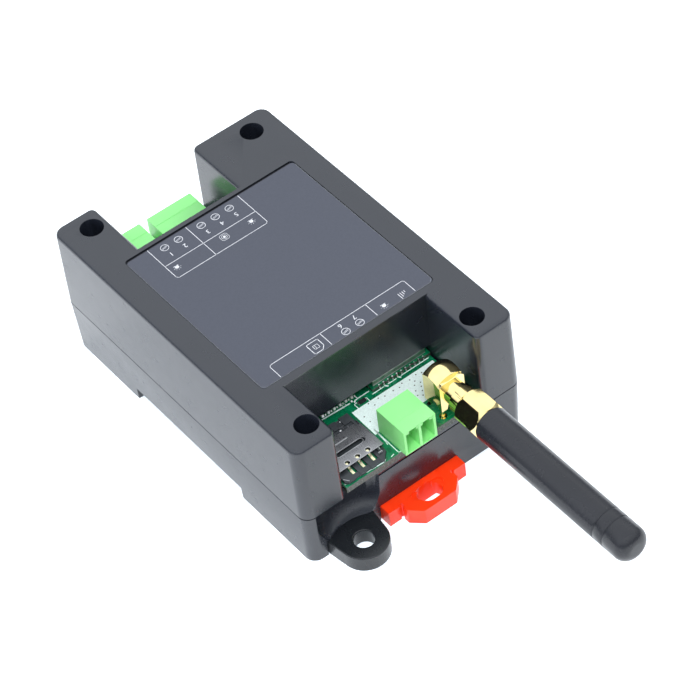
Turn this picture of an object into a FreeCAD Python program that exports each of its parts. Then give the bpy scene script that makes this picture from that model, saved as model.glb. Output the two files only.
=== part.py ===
import FreeCAD, Part
import math
import os

# A GSM door opener: a two-part black case with four deep screw wells, an open bay at each end,
# a DIN rail channel and clip below, two mounting ears, a circuit board with its plug-in headers,
# SIM holder, radio module, relay and reset button, and a screw-on stub antenna.
# Frame: +Z up, -Y the service end with the antenna, -X the SIM side.
# The origin is in the middle of the case, at the level of the foot soles. Millimetres.

V = FreeCAD.Vector
X_AXIS = V(1, 0, 0)
Y_AXIS = V(0, 1, 0)
Z_AXIS = V(0, 0, 1)

# Case
case_length = 88.0
case_width = 58.0
case_height = 35.0
seam_z = 14.2
seam_line_h = 0.25
seam_line_in = 0.2
wall = 2.0
cover_top_t = 2.2
corner_r = 2.6
top_round = 1.0
cover_draft = 0.2
base_draft = 0.45
half_l = case_length / 2
half_w = case_width / 2

# End bays: the near one is centred, the far one is narrower and lies to the SIM side
bay_half_w = 18.3
bay_depth = 17.0
far_bay_x0 = -17.6
far_bay_x1 = 8.75
far_bay_depth = 17.8
bay_wall_t = 1.8
bay_corner_r = 1.5
bay_draft = 0.12
bay_y = half_l - bay_depth
far_bay_y = half_l - far_bay_depth
bay_gap = 0.25

# Board
board_t = 1.6
board_rise = 0.8
board_z = seam_z + board_rise
board_top = board_z + board_t
board_half_l = half_l - 0.1
board_half_w = half_w - wall - 1.5
board_wall_gap = 0.2
board_near_y = -(bay_y - bay_wall_t - board_wall_gap)
board_far_y = far_bay_y - bay_wall_t - board_wall_gap
board_bay_gap = bay_gap + 0.1
under_wall_gap = 3.4
board_hole_fit = 0.05
board_screw_fit = 0.3

# Case screws in their wells
screw_x = bay_half_w + 3.4
screw_y = half_l - 5.6
well_d = 5.4
well_floor_z = seam_z + 4.8
well_wall = 1.5
screw_head_d = 5.0
screw_head_h = 2.0
screw_head_edge = 0.4
screw_shank_d = 2.9
screw_cross = 2.6
cross_w = 0.6
cross_depth = 1.0
screw_fit = 0.1
screw_length = 13.0
post_d = 7.0

# Board screws
post_inset = 4.0
post_x = board_half_w - post_inset
post_y_inset = 5.5
post_y = -board_near_y - post_y_inset
board_post_d = 5.6
board_screw_d = 2.2
board_screw_head_d = 4.2
board_screw_head_h = 1.5
board_screw_length = 6.0
board_screw_cross = 2.2

# Label
label_half_w = 22.5
label_half_l = 24.6
label_y = -0.2
label_gap = 0.15
label_far_gap = 0.6
label_t = 0.4
label_recess = 0.5

# Rail channel in the sole
channel_depth = 3.35
channel_near_y = -18.8
channel_width = 38.6
channel_far_y = channel_near_y + channel_width
base_floor_t = 2.0
lip_t = 1.0
lip_gap = 0.1
lip_rise = 0.6
base_floor_z = channel_depth + base_floor_t
sole_t = 2.0
hook_reach = 2.4
hook_t = 1.75
hook_half_x = (11.0, 24.0)

# Mounting ears
ear_inset = 10.8
ear_x = half_w - ear_inset
ear_hole_out = 4.1
ear_half_w = 6.1
ear_tip_r = 5.5
ear_hole_r = 2.3
ear_z0 = 0.2
ear_z1 = 4.2
ear_fit = 0.15
ear_root_half_w = 7.0
ear_root_len = 5.0
ear_neck_len = 2.2
scoop_out = 8.0
scoop_r = 11.53
scoop_low_r = 9.82
scoop_bend_z = 9.0
scoop_wall = 1.6

# Rail clip
clip_ear_wall = 0.6
clip_z0 = 0.2
clip_z1 = 4.3
clip_fit = 0.15
clip_half_w = ear_x - ear_root_half_w - ear_fit - clip_ear_wall - clip_fit
clip_out_y = -(half_l + 2.5)
clip_nose_y = -14.2
clip_nose_t = 1.6
clip_wing = 2.0
clip_wing_z = 2.3
clip_wing_len = 10.0
groove_wall = 0.8
clip_travel = 4.0
clip_loop_half = 6.8
clip_loop_reach = 4.5
clip_loop_chamfer = 2.6
clip_hole_r = 2.35
clip_hole_half = 0.6
clip_hole_rim = 1.3
clip_hole_slope = 0.9
clip_groove_half = 2.9
clip_groove_r = 1.2
clip_groove_depth = 0.5
clip_groove_back = 0.75
clip_root_groove_r = 0.45
clip_slot_w = 1.0
clip_arm_w = 2.6
clip_window_rib = 5.2
clip_window_floor = 1.6
clip_cover_t = 1.8

# Pluggable headers, 3.5 mm pitch
pitch = 3.5
header_end = 1.4
header_depth = 9.2
header_h = 7.0
header_wall = 0.7
header_floor = 0.7
header_back = 1.4
header_pin = 0.8
pin_stub = 2.6
pin_inset = 1.6
header_step_y = 5.9
header_step_h = 0.1
header_lug_w = 0.45
header_lug_h = 0.8
header_lug_l = 2.0
front_header_x = 0.75
front_header_out = 1.6
rear_header_in = 1.2
power_header_x = -12.3
relay_header_x = -0.1

# Aerial socket and stub antenna
aerial_x = 11.9
aerial_rise = 6.3
aerial_z = board_top + aerial_rise
sma_half_w = 3.25
sma_arch_r = 4.9
sma_arch_top = 4.0
sma_bulge = 0.6
sma_rear_y = -36.9
sma_front_y = -41.8
sma_plate_t = 0.8
sma_plate_top = 3.3
sma_plate_corner = 0.7
sma_leg_z = board_top + 1.8
sma_under_z = board_top + 3.5
sma_leg_w = 1.5
sma_leg_reach = 2.0
sma_leg_foot = 0.6
sma_pin_r = 0.45
sma_pin_inset = 0.5
sma_tail_r = 0.5
sma_tail_bore_r = 1.2
sma_tail_y = sma_rear_y - 1.8
sma_relief_r = 2.75
sma_relief_len = 2.1
thread_r = 3.175
thread_len = 7.2
thread_edge = 0.3
sma_bore_r = 2.05
sma_bore_past = 2.6
sma_socket_r = 0.64
sma_socket_bore_r = 0.5
sma_socket_bore_len = 3.8
sma_socket_in = 0.5
sma_face_in = 0.3
nut_af = 8.0
nut_fit = 0.05
nut_turn = 26.0
nut_rise = 0.42
nut_start_y = -47.7
nut_len = 7.2
nut_back_t = 1.3
nut_neck_r = 2.4
antenna_travel = 3.9
ferrule_collar_r = 3.05
ferrule_collar_len = 1.0
ferrule_r = 2.3
ferrule_gap = 0.1
antenna_insulator_r = 1.3
antenna_pin_r = 0.45
antenna_pin_len = 2.4
sleeve_r = 4.0
sleeve_tip_y = -100.3
sleeve_root_len = 6.0
sleeve_tip_wall = 4.0
sleeve_dome = 2.6
sleeve_groove = 0.2
sleeve_groove_w = 0.35
sleeve_grooves = (6.2, 9.1)
element_r = 1.0

# SIM holder
sim_x = -11.7
sim_half_w = 6.1
sim_front_y = -43.5
sim_length = 14.8
sim_h = 1.45
sim_sheet = 0.2
sim_wall = 0.7
sim_floor = 0.7
sim_tail_len = 2.2
sim_finger_len = 4.7
sim_slot_gap = 0.2
sim_slot_y = -36.9
sim_slot_half = 3.6
sim_slot_r = 0.6
sim_window_r = 0.55
sim_pitch = 2.7
sim_contact_w = 1.0
sim_contact_t = 0.15
sim_door_front_y = -40.8
sim_hinge_y = -32.0
sim_hinge_z = board_top + 0.85
sim_hinge_r = 0.3
sim_fit = 0.08

# Reset button and lights
reset_size = 4.5
reset_gap = 0.4
reset_leg_out = 0.9
reset_leg_w = 0.7
reset_leg_t = 0.3
reset_leg_inset = 0.75
reset_x = -2.2
reset_y = far_bay_y + reset_gap + reset_size / 2
reset_case_h = 3.4
reset_cap_r = 1.3
reset_cup = 1.6
reset_cap_h = 3.3
reset_travel = 0.25
reset_fit = 0.1
led_length = 2.0
led_width = 1.25
led_height = 0.8
led_base_h = 0.35
led_lens_l = 1.2
led_gap = 3.2
led_spots = {
    "signal_led": (7.1, -38.4),
    "run_led": (-14.8, far_bay_y + led_gap),
    "relay_led": (4.85, far_bay_y + led_gap),
}

# Radio module and power parts
module_w = 15.7
module_side_gap = 1.3
module_x0 = post_x - board_screw_head_d / 2 - module_side_gap - module_w
module_y0 = -26.8
castle_pitch = 1.9
castle_r = 0.4
castle_end = 1.5
module_l = 17.6
module_board_t = 0.8
shield_h = 1.5
shield_inset = 0.8
shield_round = 0.4
shield_t = 0.2
relay_w = 15.2
relay_l = 19.0
relay_gap = 1.0
relay_h = case_height - cover_top_t - relay_gap - board_top
relay_foot = 2.0
relay_foot_x = 5.0
relay_foot_y = 7.0
relay_standoff = 0.2
relay_side_gap = 2.3
relay_round = 0.8
relay_x = post_x - board_screw_head_d / 2 - relay_side_gap - relay_w / 2
relay_y = 13.5
can_r = 4.0
can_h = 11.5
can_edge_gap = 2.5
can_groove_z = 1.4
can_groove_w = 0.8
can_groove_t = 0.3
can_x = -(board_half_w - can_edge_gap - can_r)
can_spots = ((can_x, 8.0), (can_x, -3.5))
coil_size = 7.0
coil_h = 3.4
coil_round = 1.2
coil_x = -8.5
coil_y = 10.5

# Chips as (x, y, width, length, height), and small parts
chips = (
    (-12.0, -14.0, 7.0, 7.0, 1.2),
    (-8.5, 18.5, 6.5, 4.0, 1.6),
    (-15.6, 18.5, 4.5, 2.6, 1.8),
    (-2.9, 12.0, 3.0, 1.6, 1.1),
    (-3.8, 4.8, 4.9, 3.9, 1.5),
)
passive_w = 0.8
passive_l = 1.6
passive_h = 0.45
passive_pitch = 1.55
passive_count = 6
passive_x = -9.6
passive_y = -24.1
loose_passives = ((-0.9, -27.4), (-1.2, -3.0), (-3.6, -3.0), (-6.0, -3.2))


def box(x0, x1, y0, y1, z0, z1):
    """Block between two corners, given in any order."""
    low = V(min(x0, x1), min(y0, y1), min(z0, z1))
    return Part.makeBox(abs(x1 - x0), abs(y1 - y0), abs(z1 - z0), low)


def tube(r_out, r_in, length, start, axis):
    """Plain or bored cylinder from a point along an axis."""
    solid = Part.makeCylinder(r_out, length, start, axis)
    if r_in > 0:
        solid = solid.cut(Part.makeCylinder(r_in, length, start, axis))
    return solid


def rounded_wire(corners, z):
    """Closed outline at height z. Each corner is (x, y, radius)."""
    count = len(corners)
    edges = []
    ends = []
    for i in range(count):
        x, y, r = corners[i]
        here = V(x, y, z)
        before = V(corners[i - 1][0], corners[i - 1][1], z)
        after = V(corners[(i + 1) % count][0], corners[(i + 1) % count][1], z)
        to_before = (before - here).normalize()
        to_after = (after - here).normalize()
        if r <= 0:
            ends.append((here, None, here))
            continue
        half_turn = to_before.getAngle(to_after) / 2
        reach = r / math.tan(half_turn)
        first = here + to_before * reach
        last = here + to_after * reach
        inward = (to_before + to_after).normalize()
        centre = here + inward * (r / math.sin(half_turn))
        middle = centre - inward * r
        ends.append((first, middle, last))
    for i in range(count):
        first, middle, last = ends[i]
        if middle is not None:
            edges.append(Part.Arc(first, middle, last).toShape())
        follow = ends[(i + 1) % count][0]
        if (follow - last).Length > 1e-6:
            edges.append(Part.LineSegment(last, follow).toShape())
    return Part.Wire(edges)


def prism(corners, z0, z1):
    """Upright prism of a rounded outline."""
    return Part.Face(rounded_wire(corners, z0)).extrude(V(0, 0, z1 - z0))


def drafted(corners_low, z0, corners_high, z1):
    """Solid between two outlines of the same make."""
    return Part.makeLoft([rounded_wire(corners_low, z0), rounded_wire(corners_high, z1)], True, True)


def rectangle(hw, hl, r):
    """Corners of a centred rectangle."""
    return [(-hw, -hl, r), (hw, -hl, r), (hw, hl, r), (-hw, hl, r)]


def bay_outline(hw, hl, grow, r, rb):
    """Corners of the case outline with a bay open at each end, the bays widened all round by grow."""
    near_w = bay_half_w + grow
    near_y = -(bay_y - grow)
    far_x0 = far_bay_x0 - grow
    far_x1 = far_bay_x1 + grow
    far_y = far_bay_y - grow
    near = [(-hw, -hl, r), (-near_w, -hl, rb), (-near_w, near_y, 0), (near_w, near_y, 0), (near_w, -hl, rb)]
    far = [(far_x1, hl, rb), (far_x1, far_y, 0), (far_x0, far_y, 0), (far_x0, hl, rb), (-hw, hl, r)]
    return near + [(hw, -hl, r), (hw, hl, r)] + far


def turned(profile, start, axis):
    """Solid of revolution about an axis. The profile is (radius, distance along the axis)."""
    points = [V(r, 0, d) for r, d in profile]
    face = Part.Face(Part.makePolygon(points + [points[0]]))
    solid = face.revolve(V(0, 0, 0), Z_AXIS, 360)
    spin = FreeCAD.Rotation(Z_AXIS, axis)
    solid.Placement = FreeCAD.Placement(start, spin)
    return solid


def both_ends(shape):
    """A shape and its copy turned half a turn about the case's upright axis."""
    copy = shape.copy()
    copy.rotate(V(0, 0, 0), Z_AXIS, 180)
    return shape.fuse(copy)


def at_corners(maker, x, y):
    """Four copies, one at each quadrant."""
    return [maker(sx * x, sy * y) for sx in (-1, 1) for sy in (-1, 1)]


def fused(first, others):
    """One shape from a first one and a list."""
    result = first
    for other in others:
        result = result.fuse(other)
    return result


def make_top_cover():
    low = bay_outline(half_w, half_l, 0, corner_r, bay_corner_r)
    high = bay_outline(half_w - cover_draft, half_l - cover_draft, bay_draft, corner_r, bay_corner_r)
    outer = drafted(low, seam_z, high, case_height)
    outer = outer.makeFillet(top_round, [e for e in outer.Edges if on_outer_rim(e)])
    inner = bay_outline(half_w - wall, half_l - wall, bay_wall_t, corner_r / 2, 0)
    cavity = prism(inner, seam_z - 1, case_height - cover_top_t)
    shell = outer.cut(cavity)
    tubes = at_corners(well_tube, screw_x, screw_y)
    shell = fused(shell, [t.common(outer) for t in tubes])
    gap_z = board_top + under_wall_gap
    inset = bay_wall_t + 1
    shell = shell.cut(box(-bay_half_w, bay_half_w, -bay_y + inset, -bay_y - bay_draft, seam_z - 1, gap_z))
    far_wall = (far_bay_y - inset, far_bay_y + bay_draft)
    shell = shell.cut(box(far_bay_x0, far_bay_x1, far_wall[0], far_wall[1], seam_z - 1, gap_z))
    for well in at_corners(well_cut, screw_x, screw_y):
        shell = shell.cut(well)
    hw = label_half_w + label_gap
    y0 = label_y - label_half_l - label_gap
    y1 = label_y + label_half_l + label_far_gap
    outline = [(-hw, y0, 1.0), (hw, y0, 1.0), (hw, y1, 1.0), (-hw, y1, 1.0)]
    recess = prism(outline, case_height - label_recess, case_height + 1)
    return shell.cut(recess).removeSplitter()


def on_outer_rim(edge):
    """True for the top edges that run round the outside of the case, without those of its bays."""
    middle = edge.CenterOfMass
    reach = bay_draft + 0.01
    near = middle.y < 0 and abs(middle.x) < bay_half_w + reach
    far = middle.y > 0 and far_bay_x0 - reach < middle.x < far_bay_x1 + reach
    return edge.BoundBox.ZMin > case_height - 0.01 and not near and not far


def well_tube(x, y):
    return Part.makeCylinder(well_d / 2 + well_wall, case_height - seam_z, V(x, y, seam_z))


def well_cut(x, y):
    well = Part.makeCylinder(well_d / 2, case_height, V(x, y, well_floor_z))
    hole = Part.makeCylinder(screw_shank_d / 2 + screw_fit, case_height, V(x, y, seam_z - 1))
    return well.fuse(hole)


def make_base_shell():
    low = rectangle(half_w - base_draft, half_l - base_draft, corner_r)
    high = rectangle(half_w, half_l, corner_r)
    shell = drafted(low, 0, high, seam_z)
    shell = shell.cut(seam_line())
    cavity = prism(rectangle(half_w - wall, half_l - wall, corner_r / 2), base_floor_z, seam_z + 1)
    shell = shell.cut(cavity)
    near_w = bay_half_w - bay_gap
    sills = ((-near_w, near_w, -1), (far_bay_x0 + bay_gap, far_bay_x1 - bay_gap, 1))
    for x0, x1, sy in sills:
        shell = shell.fuse(box(x0, x1, sy * (half_l - wall), sy * board_half_l, seam_z, board_z))
    lip_x = half_w - wall - lip_gap
    for sx in (-1, 1):
        across = (sx * (lip_x - lip_t), sx * lip_x)
        lip = box(across[0], across[1], board_near_y, board_far_y, base_floor_z, board_z + lip_rise)
        shell = shell.fuse(lip)
    shell = fused(shell, at_corners(case_post, screw_x, screw_y))
    shell = fused(shell, at_corners(board_post, post_x, post_y))
    shell = shell.fuse(both_ends(scoop_backing()))
    shell = shell.cut(box(-half_w - 1, half_w + 1, channel_near_y, channel_far_y, -1, channel_depth))
    shell = fused(shell, [rail_hook(sx) for sx in (-1, 1)])
    shell = shell.cut(far_foot_hollow())
    shell = shell.fuse(clip_roof())
    shell = shell.cut(clip_guide())
    shell = shell.cut(both_ends(ear_scoop()))
    shell = shell.cut(both_ends(ear_slot()))
    pilot_l = seam_z + 1
    for x, y in corner_points(screw_x, screw_y):
        shell = shell.cut(Part.makeCylinder(screw_shank_d / 2 + screw_fit, pilot_l, V(x, y, base_floor_z)))
    for x, y in corner_points(post_x, post_y):
        shell = shell.cut(Part.makeCylinder(board_screw_d / 2 + screw_fit, pilot_l, V(x, y, base_floor_z)))
    return shell.removeSplitter()


def seam_line():
    """Fine step round the top of the base, which shows as a line below the cover."""
    z0 = seam_z - seam_line_h
    around = prism(rectangle(half_w + 1, half_l + 1, corner_r), z0, seam_z + 1)
    inset = rectangle(half_w - seam_line_in, half_l - seam_line_in, corner_r)
    return around.cut(prism(inset, z0, seam_z + 1))


def corner_points(x, y):
    return [(sx * x, sy * y) for sx in (-1, 1) for sy in (-1, 1)]


def case_post(x, y):
    return Part.makeCylinder(post_d / 2, seam_z - base_floor_z, V(x, y, base_floor_z))


def board_post(x, y):
    return Part.makeCylinder(board_post_d / 2, board_z - base_floor_z, V(x, y, base_floor_z))


def rail_hook(sx):
    """Fixed lip that goes under one flange of the rail, with a slope that leads it in."""
    x0, x1 = hook_half_x
    tip_y = channel_far_y - hook_reach
    points = [
        V(0, channel_far_y, 0), V(0, tip_y + 0.8, 0), V(0, tip_y, hook_t * 0.6),
        V(0, tip_y, hook_t), V(0, channel_far_y, hook_t)]
    face = Part.Face(Part.makePolygon(points + [points[0]]))
    hook = face.extrude(V(x1 - x0, 0, 0))
    hook.translate(V(x0 if sx > 0 else -x1, 0, 0))
    return hook


def far_foot_hollow():
    """Inside of the far foot, left hollow above its sole, beside the rear ear's slot."""
    x1 = ear_x - ear_root_half_w - 2 * wall
    y0 = channel_far_y + wall
    return box(-half_w + wall + 1, x1, y0, half_l - wall - 0.5, sole_t, base_floor_z + 1)


def clip_roof():
    """Raised floor above the clip's guide."""
    hw = clip_half_w + clip_wing + clip_fit + 1.5
    top = clip_z1 + clip_fit + clip_cover_t
    return box(-hw, hw, -half_l + wall / 2, channel_near_y, base_floor_z - 1, top)


def clip_guide():
    """Slot in the near foot, open below, with a groove on each side for the clip's wings."""
    hw = clip_half_w + clip_fit
    top = clip_z1 + clip_fit
    slot = box(-hw, hw, -half_l - 1, channel_near_y + 1, -1, top)
    wing_front = clip_wing_front() - clip_travel - clip_fit
    wide = hw + clip_wing
    grooves = box(-wide, wide, wing_front, channel_near_y + 1, clip_wing_z - clip_fit, top)
    return slot.fuse(grooves)


def clip_wing_front():
    """Front end of the clip's wings, which meet the end of their grooves when it is pulled out."""
    slot_end = -half_l + ear_neck_len + ear_root_len + ear_fit
    return slot_end + groove_wall + clip_travel + clip_fit


def ear_scoop():
    """Round relief above the front ear, which leaves room for a screw head and driver."""
    lift = ear_z1 + ear_fit
    top = board_z + 1
    arc = Part.Arc(
        V(scoop_low_r, 0, lift),
        V((scoop_low_r + scoop_r) / 2 + 0.3, 0, (lift + scoop_bend_z) / 2),
        V(scoop_r, 0, scoop_bend_z)).toShape()
    straight = [
        V(scoop_r, 0, scoop_bend_z), V(scoop_r, 0, top), V(0, 0, top), V(0, 0, lift), V(scoop_low_r, 0, lift)]
    wire = Part.Wire([arc] + Part.makePolygon(straight).Edges)
    solid = Part.Face(wire).revolve(V(0, 0, 0), Z_AXIS, 360)
    solid.translate(V(-ear_x, -half_l - scoop_out, 0))
    return solid


def scoop_backing():
    """Wall behind the relief, kept inside the base."""
    r = scoop_r + scoop_wall
    tower = Part.makeCylinder(r, seam_z - base_floor_z, V(-ear_x, -half_l - scoop_out, base_floor_z))
    inside = prism(rectangle(half_w - wall / 2, half_l - wall / 2, corner_r), base_floor_z, seam_z)
    return tower.common(inside)


def ear_slot():
    """T slot for the root of the front ear, open below."""
    hw = ear_half_w + ear_fit
    root_hw = ear_root_half_w + ear_fit
    neck_y = -half_l + ear_neck_len
    root_y = neck_y + ear_root_len + ear_fit
    top = ear_z1 + ear_fit
    neck = box(-ear_x - hw, -ear_x + hw, -half_l - 1, root_y, -1, top)
    root = box(-ear_x - root_hw, -ear_x + root_hw, neck_y - ear_fit, root_y, -1, top)
    return neck.fuse(root)


def make_ear():
    """Front mounting ear: a lug with a round end, a neck and a T root."""
    hole_y = -half_l - ear_hole_out
    neck_y = -half_l + ear_neck_len
    side = math.atan2(ear_half_w - ear_tip_r, ear_hole_out)
    tip_x = ear_tip_r * math.cos(side)
    tip_y = hole_y - ear_tip_r * math.sin(side)
    left = V(-tip_x, tip_y, ear_z0)
    right = V(tip_x, tip_y, ear_z0)
    tip = Part.Arc(left, V(0, hole_y - ear_tip_r, ear_z0), right).toShape()
    sides = Part.makePolygon([
        right, V(ear_half_w, -half_l, ear_z0), V(ear_half_w, neck_y, ear_z0),
        V(-ear_half_w, neck_y, ear_z0), V(-ear_half_w, -half_l, ear_z0), left])
    lug = Part.Face(Part.Wire([tip] + sides.Edges)).extrude(V(0, 0, ear_z1 - ear_z0))
    root = box(-ear_root_half_w, ear_root_half_w, neck_y, neck_y + ear_root_len, ear_z0, ear_z1)
    hole = Part.makeCylinder(ear_hole_r, case_height, V(0, hole_y, -1))
    ear = lug.fuse(root).cut(hole).removeSplitter()
    ear.translate(V(-ear_x, 0, 0))
    return ear


def make_rear_ear():
    ear = make_ear()
    ear.rotate(V(0, 0, 0), Z_AXIS, 180)
    return ear


def make_din_clip():
    """Slide that locks the rail: nose, grooved plate with two spring arms, bar and pull loop."""
    front = clip_out_y
    loop_y = front - clip_loop_reach
    root_y = channel_near_y - 0.6
    plate = box(-clip_half_w, clip_half_w, front, root_y, clip_z0, clip_z1)
    nose_hw = clip_half_w - 1.5
    points = [
        V(0, root_y, clip_z0), V(0, clip_nose_y - 0.9, clip_z0), V(0, clip_nose_y, clip_z0 + 0.5),
        V(0, clip_nose_y, clip_z0 + clip_nose_t * 0.6), V(0, clip_nose_y - 1.2, clip_z0 + clip_nose_t),
        V(0, root_y, clip_z0 + clip_nose_t)]
    nose = Part.Face(Part.makePolygon(points + [points[0]])).extrude(V(2 * nose_hw, 0, 0))
    nose.translate(V(-nose_hw, 0, 0))
    wing_y = clip_wing_front()
    wing_hw = clip_half_w + clip_wing
    wings = box(-wing_hw, wing_hw, wing_y, wing_y + clip_wing_len, clip_wing_z, clip_z1)
    loop = prism([
        (-clip_loop_half, front + 1, 0), (-clip_loop_half, loop_y + clip_loop_chamfer, 0.6),
        (-clip_loop_half + clip_loop_chamfer, loop_y, 0.6), (clip_loop_half - clip_loop_chamfer, loop_y, 0.6),
        (clip_loop_half, loop_y + clip_loop_chamfer, 0.6), (clip_loop_half, front + 1, 0)],
        clip_z0, clip_z1)
    clip = plate.fuse(nose).fuse(wings).fuse(loop)
    clip = clip.cut(clip_pull_hole(loop_y + clip_hole_rim + clip_hole_r))
    arm_y0 = wing_y + 1.5
    arm_y1 = root_y - 2.0
    for sx in (-1, 1):
        inner = sx * (clip_half_w - clip_arm_w)
        clip = clip.cut(box(inner, inner - sx * clip_slot_w, arm_y0, arm_y1, -1, case_height))
        clip = clip.cut(Part.makeCylinder(clip_root_groove_r, case_height, V(sx * clip_loop_half, front, -1)))
    window_hw = clip_half_w - clip_window_rib
    window = box(-window_hw, window_hw, arm_y0 + 3, arm_y1 - 3, clip_z0 + clip_window_floor, case_height)
    return clip.cut(window).removeSplitter()


def clip_pull_hole(y):
    """Slot for a screwdriver's tip, with a slope at its back and a shallow groove across its mouth."""
    hole = slot_prism(clip_hole_half, clip_hole_r, y, -1, case_height)
    back = y + clip_hole_r
    foot = back - clip_hole_slope
    slope = [
        V(0, y - case_height, -1), V(0, foot, -1), V(0, foot, clip_z0), V(0, back, clip_z1),
        V(0, back, case_height), V(0, y - case_height, case_height)]
    keep = Part.Face(Part.makePolygon(slope + [slope[0]])).extrude(V(2 * clip_half_w, 0, 0))
    keep.translate(V(-clip_half_w, 0, 0))
    groove = slot_prism(
        clip_groove_half, clip_groove_r, y + clip_groove_back, clip_z1 - clip_groove_depth, case_height)
    return hole.common(keep).fuse(groove)


def slot_prism(half, r, y, z0, z1):
    """Upright slot with round ends, centred on x = 0."""
    h = z1 - z0
    ends = Part.makeCylinder(r, h, V(-half, y, z0)).fuse(Part.makeCylinder(r, h, V(half, y, z0)))
    return ends.fuse(box(-half, half, y - r, y + r, z0, z1))


def make_cover_screws():
    def screw(x, y):
        head = Part.makeCylinder(screw_head_d / 2, screw_head_h, V(x, y, well_floor_z))
        rim = [e for e in head.Edges if e.BoundBox.ZMin > well_floor_z + 1]
        head = head.makeChamfer(screw_head_edge, rim)
        shank = Part.makeCylinder(screw_shank_d / 2, screw_length, V(x, y, well_floor_z - screw_length))
        return cross_recess(head.fuse(shank), x, y, well_floor_z + screw_head_h, screw_cross)
    return Part.makeCompound(at_corners(screw, screw_x, screw_y))


def cross_recess(screw, x, y, top, size):
    """Cross slot in a screw head."""
    a = size / 2
    b = cross_w / 2
    screw = screw.cut(box(x - a, x + a, y - b, y + b, top - cross_depth, top + 1))
    return screw.cut(box(x - b, x + b, y - a, y + a, top - cross_depth, top + 1))


def make_board_screws():
    def screw(x, y):
        head = Part.makeCylinder(board_screw_head_d / 2, board_screw_head_h, V(x, y, board_top))
        foot = V(x, y, board_top - board_screw_length)
        shank = Part.makeCylinder(board_screw_d / 2, board_screw_length, foot)
        return cross_recess(head.fuse(shank), x, y, board_top + board_screw_head_h, board_screw_cross)
    return Part.makeCompound(at_corners(screw, post_x, post_y))


def make_label_plate():
    z0 = case_height - label_recess
    film = prism(rectangle(label_half_w, label_half_l, 0.9), z0, z0 + label_t)
    film.translate(V(0, label_y, 0))
    return film


def make_main_board():
    outline = [
        (-board_half_w, board_near_y, 1.0), (board_half_w, board_near_y, 1.0),
        (board_half_w, board_far_y, 1.0), (-board_half_w, board_far_y, 1.0)]
    near_w = bay_half_w - board_bay_gap
    far_x0 = far_bay_x0 + board_bay_gap
    far_x1 = far_bay_x1 - board_bay_gap
    board = prism(outline, board_z, board_top)
    board = board.fuse(box(-near_w, near_w, -board_half_l, 0, board_z, board_top))
    board = board.fuse(box(far_x0, far_x1, 0, board_half_l, board_z, board_top))
    for x, y in corner_points(post_x, post_y):
        board = board.cut(Part.makeCylinder(board_screw_d / 2 + board_screw_fit, case_height, V(x, y, 0)))
    pin_hole = header_pin / 2 + board_hole_fit
    for name, x, poles, face_y, facing in header_list():
        for px, py in pin_feet(x, poles, face_y, facing):
            board = board.cut(box(px - pin_hole, px + pin_hole, py - pin_hole, py + pin_hole, 0, case_height))
    for x, y in sma_pin_spots():
        board = board.cut(Part.makeCylinder(sma_pin_r + board_hole_fit, case_height, V(x, y, 0)))
    board = board.cut(Part.makeCylinder(sma_tail_r + board_hole_fit, case_height, V(aerial_x, sma_tail_y, 0)))
    return board.removeSplitter()


def header_list():
    """Name, middle x, poles, y of the open face and its direction for each header."""
    front_y = -board_half_l - front_header_out
    rear_y = board_half_l - rear_header_in
    return [
        ("wired_switch", front_header_x, 2, front_y, -1),
        ("power", power_header_x, 2, rear_y, 1),
        ("relay", relay_header_x, 3, rear_y, 1),
    ]


def pole_x(x, poles):
    return [x + (i - (poles - 1) / 2) * pitch for i in range(poles)]


def pin_feet(x, poles, face_y, facing):
    """Where each pin goes down through the board, behind the housing's back wall."""
    y = face_y - facing * (header_depth - header_back / 2 - 0.2)
    return [(px, y) for px in pole_x(x, poles)]


def make_header(x, poles, face_y, facing):
    """Shrouded housing with one cavity for each pole and two coding lugs in it."""
    hw = (poles * pitch + header_end) / 2
    back_y = face_y - facing * header_depth
    body = box(x - hw, x + hw, face_y, back_y, board_top, board_top + header_h)
    cell = pitch - header_wall
    z0 = board_top + header_floor
    z1 = board_top + header_h - header_wall
    for px in pole_x(x, poles):
        cavity = box(px - cell / 2, px + cell / 2, face_y, back_y + facing * header_back, z0, z1)
        lugs = []
        for sx in (-1, 1):
            edge = px + sx * cell / 2
            lug_y = face_y - facing * 0.4
            lugs.append(box(
                edge, edge - sx * header_lug_w, lug_y, lug_y - facing * header_lug_l, z1, z1 - header_lug_h))
        cavity = cavity.cut(lugs[0]).cut(lugs[1])
        body = body.cut(cavity)
    top = board_top + header_h
    step_y = back_y + facing * header_step_y
    body = body.cut(box(x - hw, x + hw, back_y, step_y, top - header_step_h, top + 1))
    for px, py in pin_feet(x, poles, face_y, facing):
        half = header_pin / 2
        low = pin_height() - half
        high = pin_height() + half
        body = body.cut(box(px - half, px + half, py - half, py + half, board_top, high))
        body = body.cut(box(px - half, px + half, py, py + facing * header_depth / 2, low, high))
    return body.removeSplitter()


def pin_height():
    return board_top + header_h * 0.5


def make_header_pins(x, poles, face_y, facing):
    """One bent square pin for each pole: forward in the cavity and down through the board."""
    half = header_pin / 2
    pins = []
    for px, py in pin_feet(x, poles, face_y, facing):
        tip = face_y - facing * pin_inset
        run = box(px - half, px + half, py - facing * half, tip, pin_height() - half, pin_height() + half)
        leg = box(px - half, px + half, py - half, py + half, board_z - pin_stub, pin_height())
        pins.append(run.fuse(leg).removeSplitter())
    return Part.makeCompound(pins)


def sma_plate_y():
    """Front face of the socket's plate."""
    return sma_front_y - sma_plate_t


def sma_pin_spots():
    x = sma_half_w - sma_pin_inset
    return [
        (aerial_x + sx * x, y)
        for sx in (-1, 1) for y in (sma_rear_y - sma_pin_inset, sma_plate_y() + sma_pin_inset)]


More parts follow.
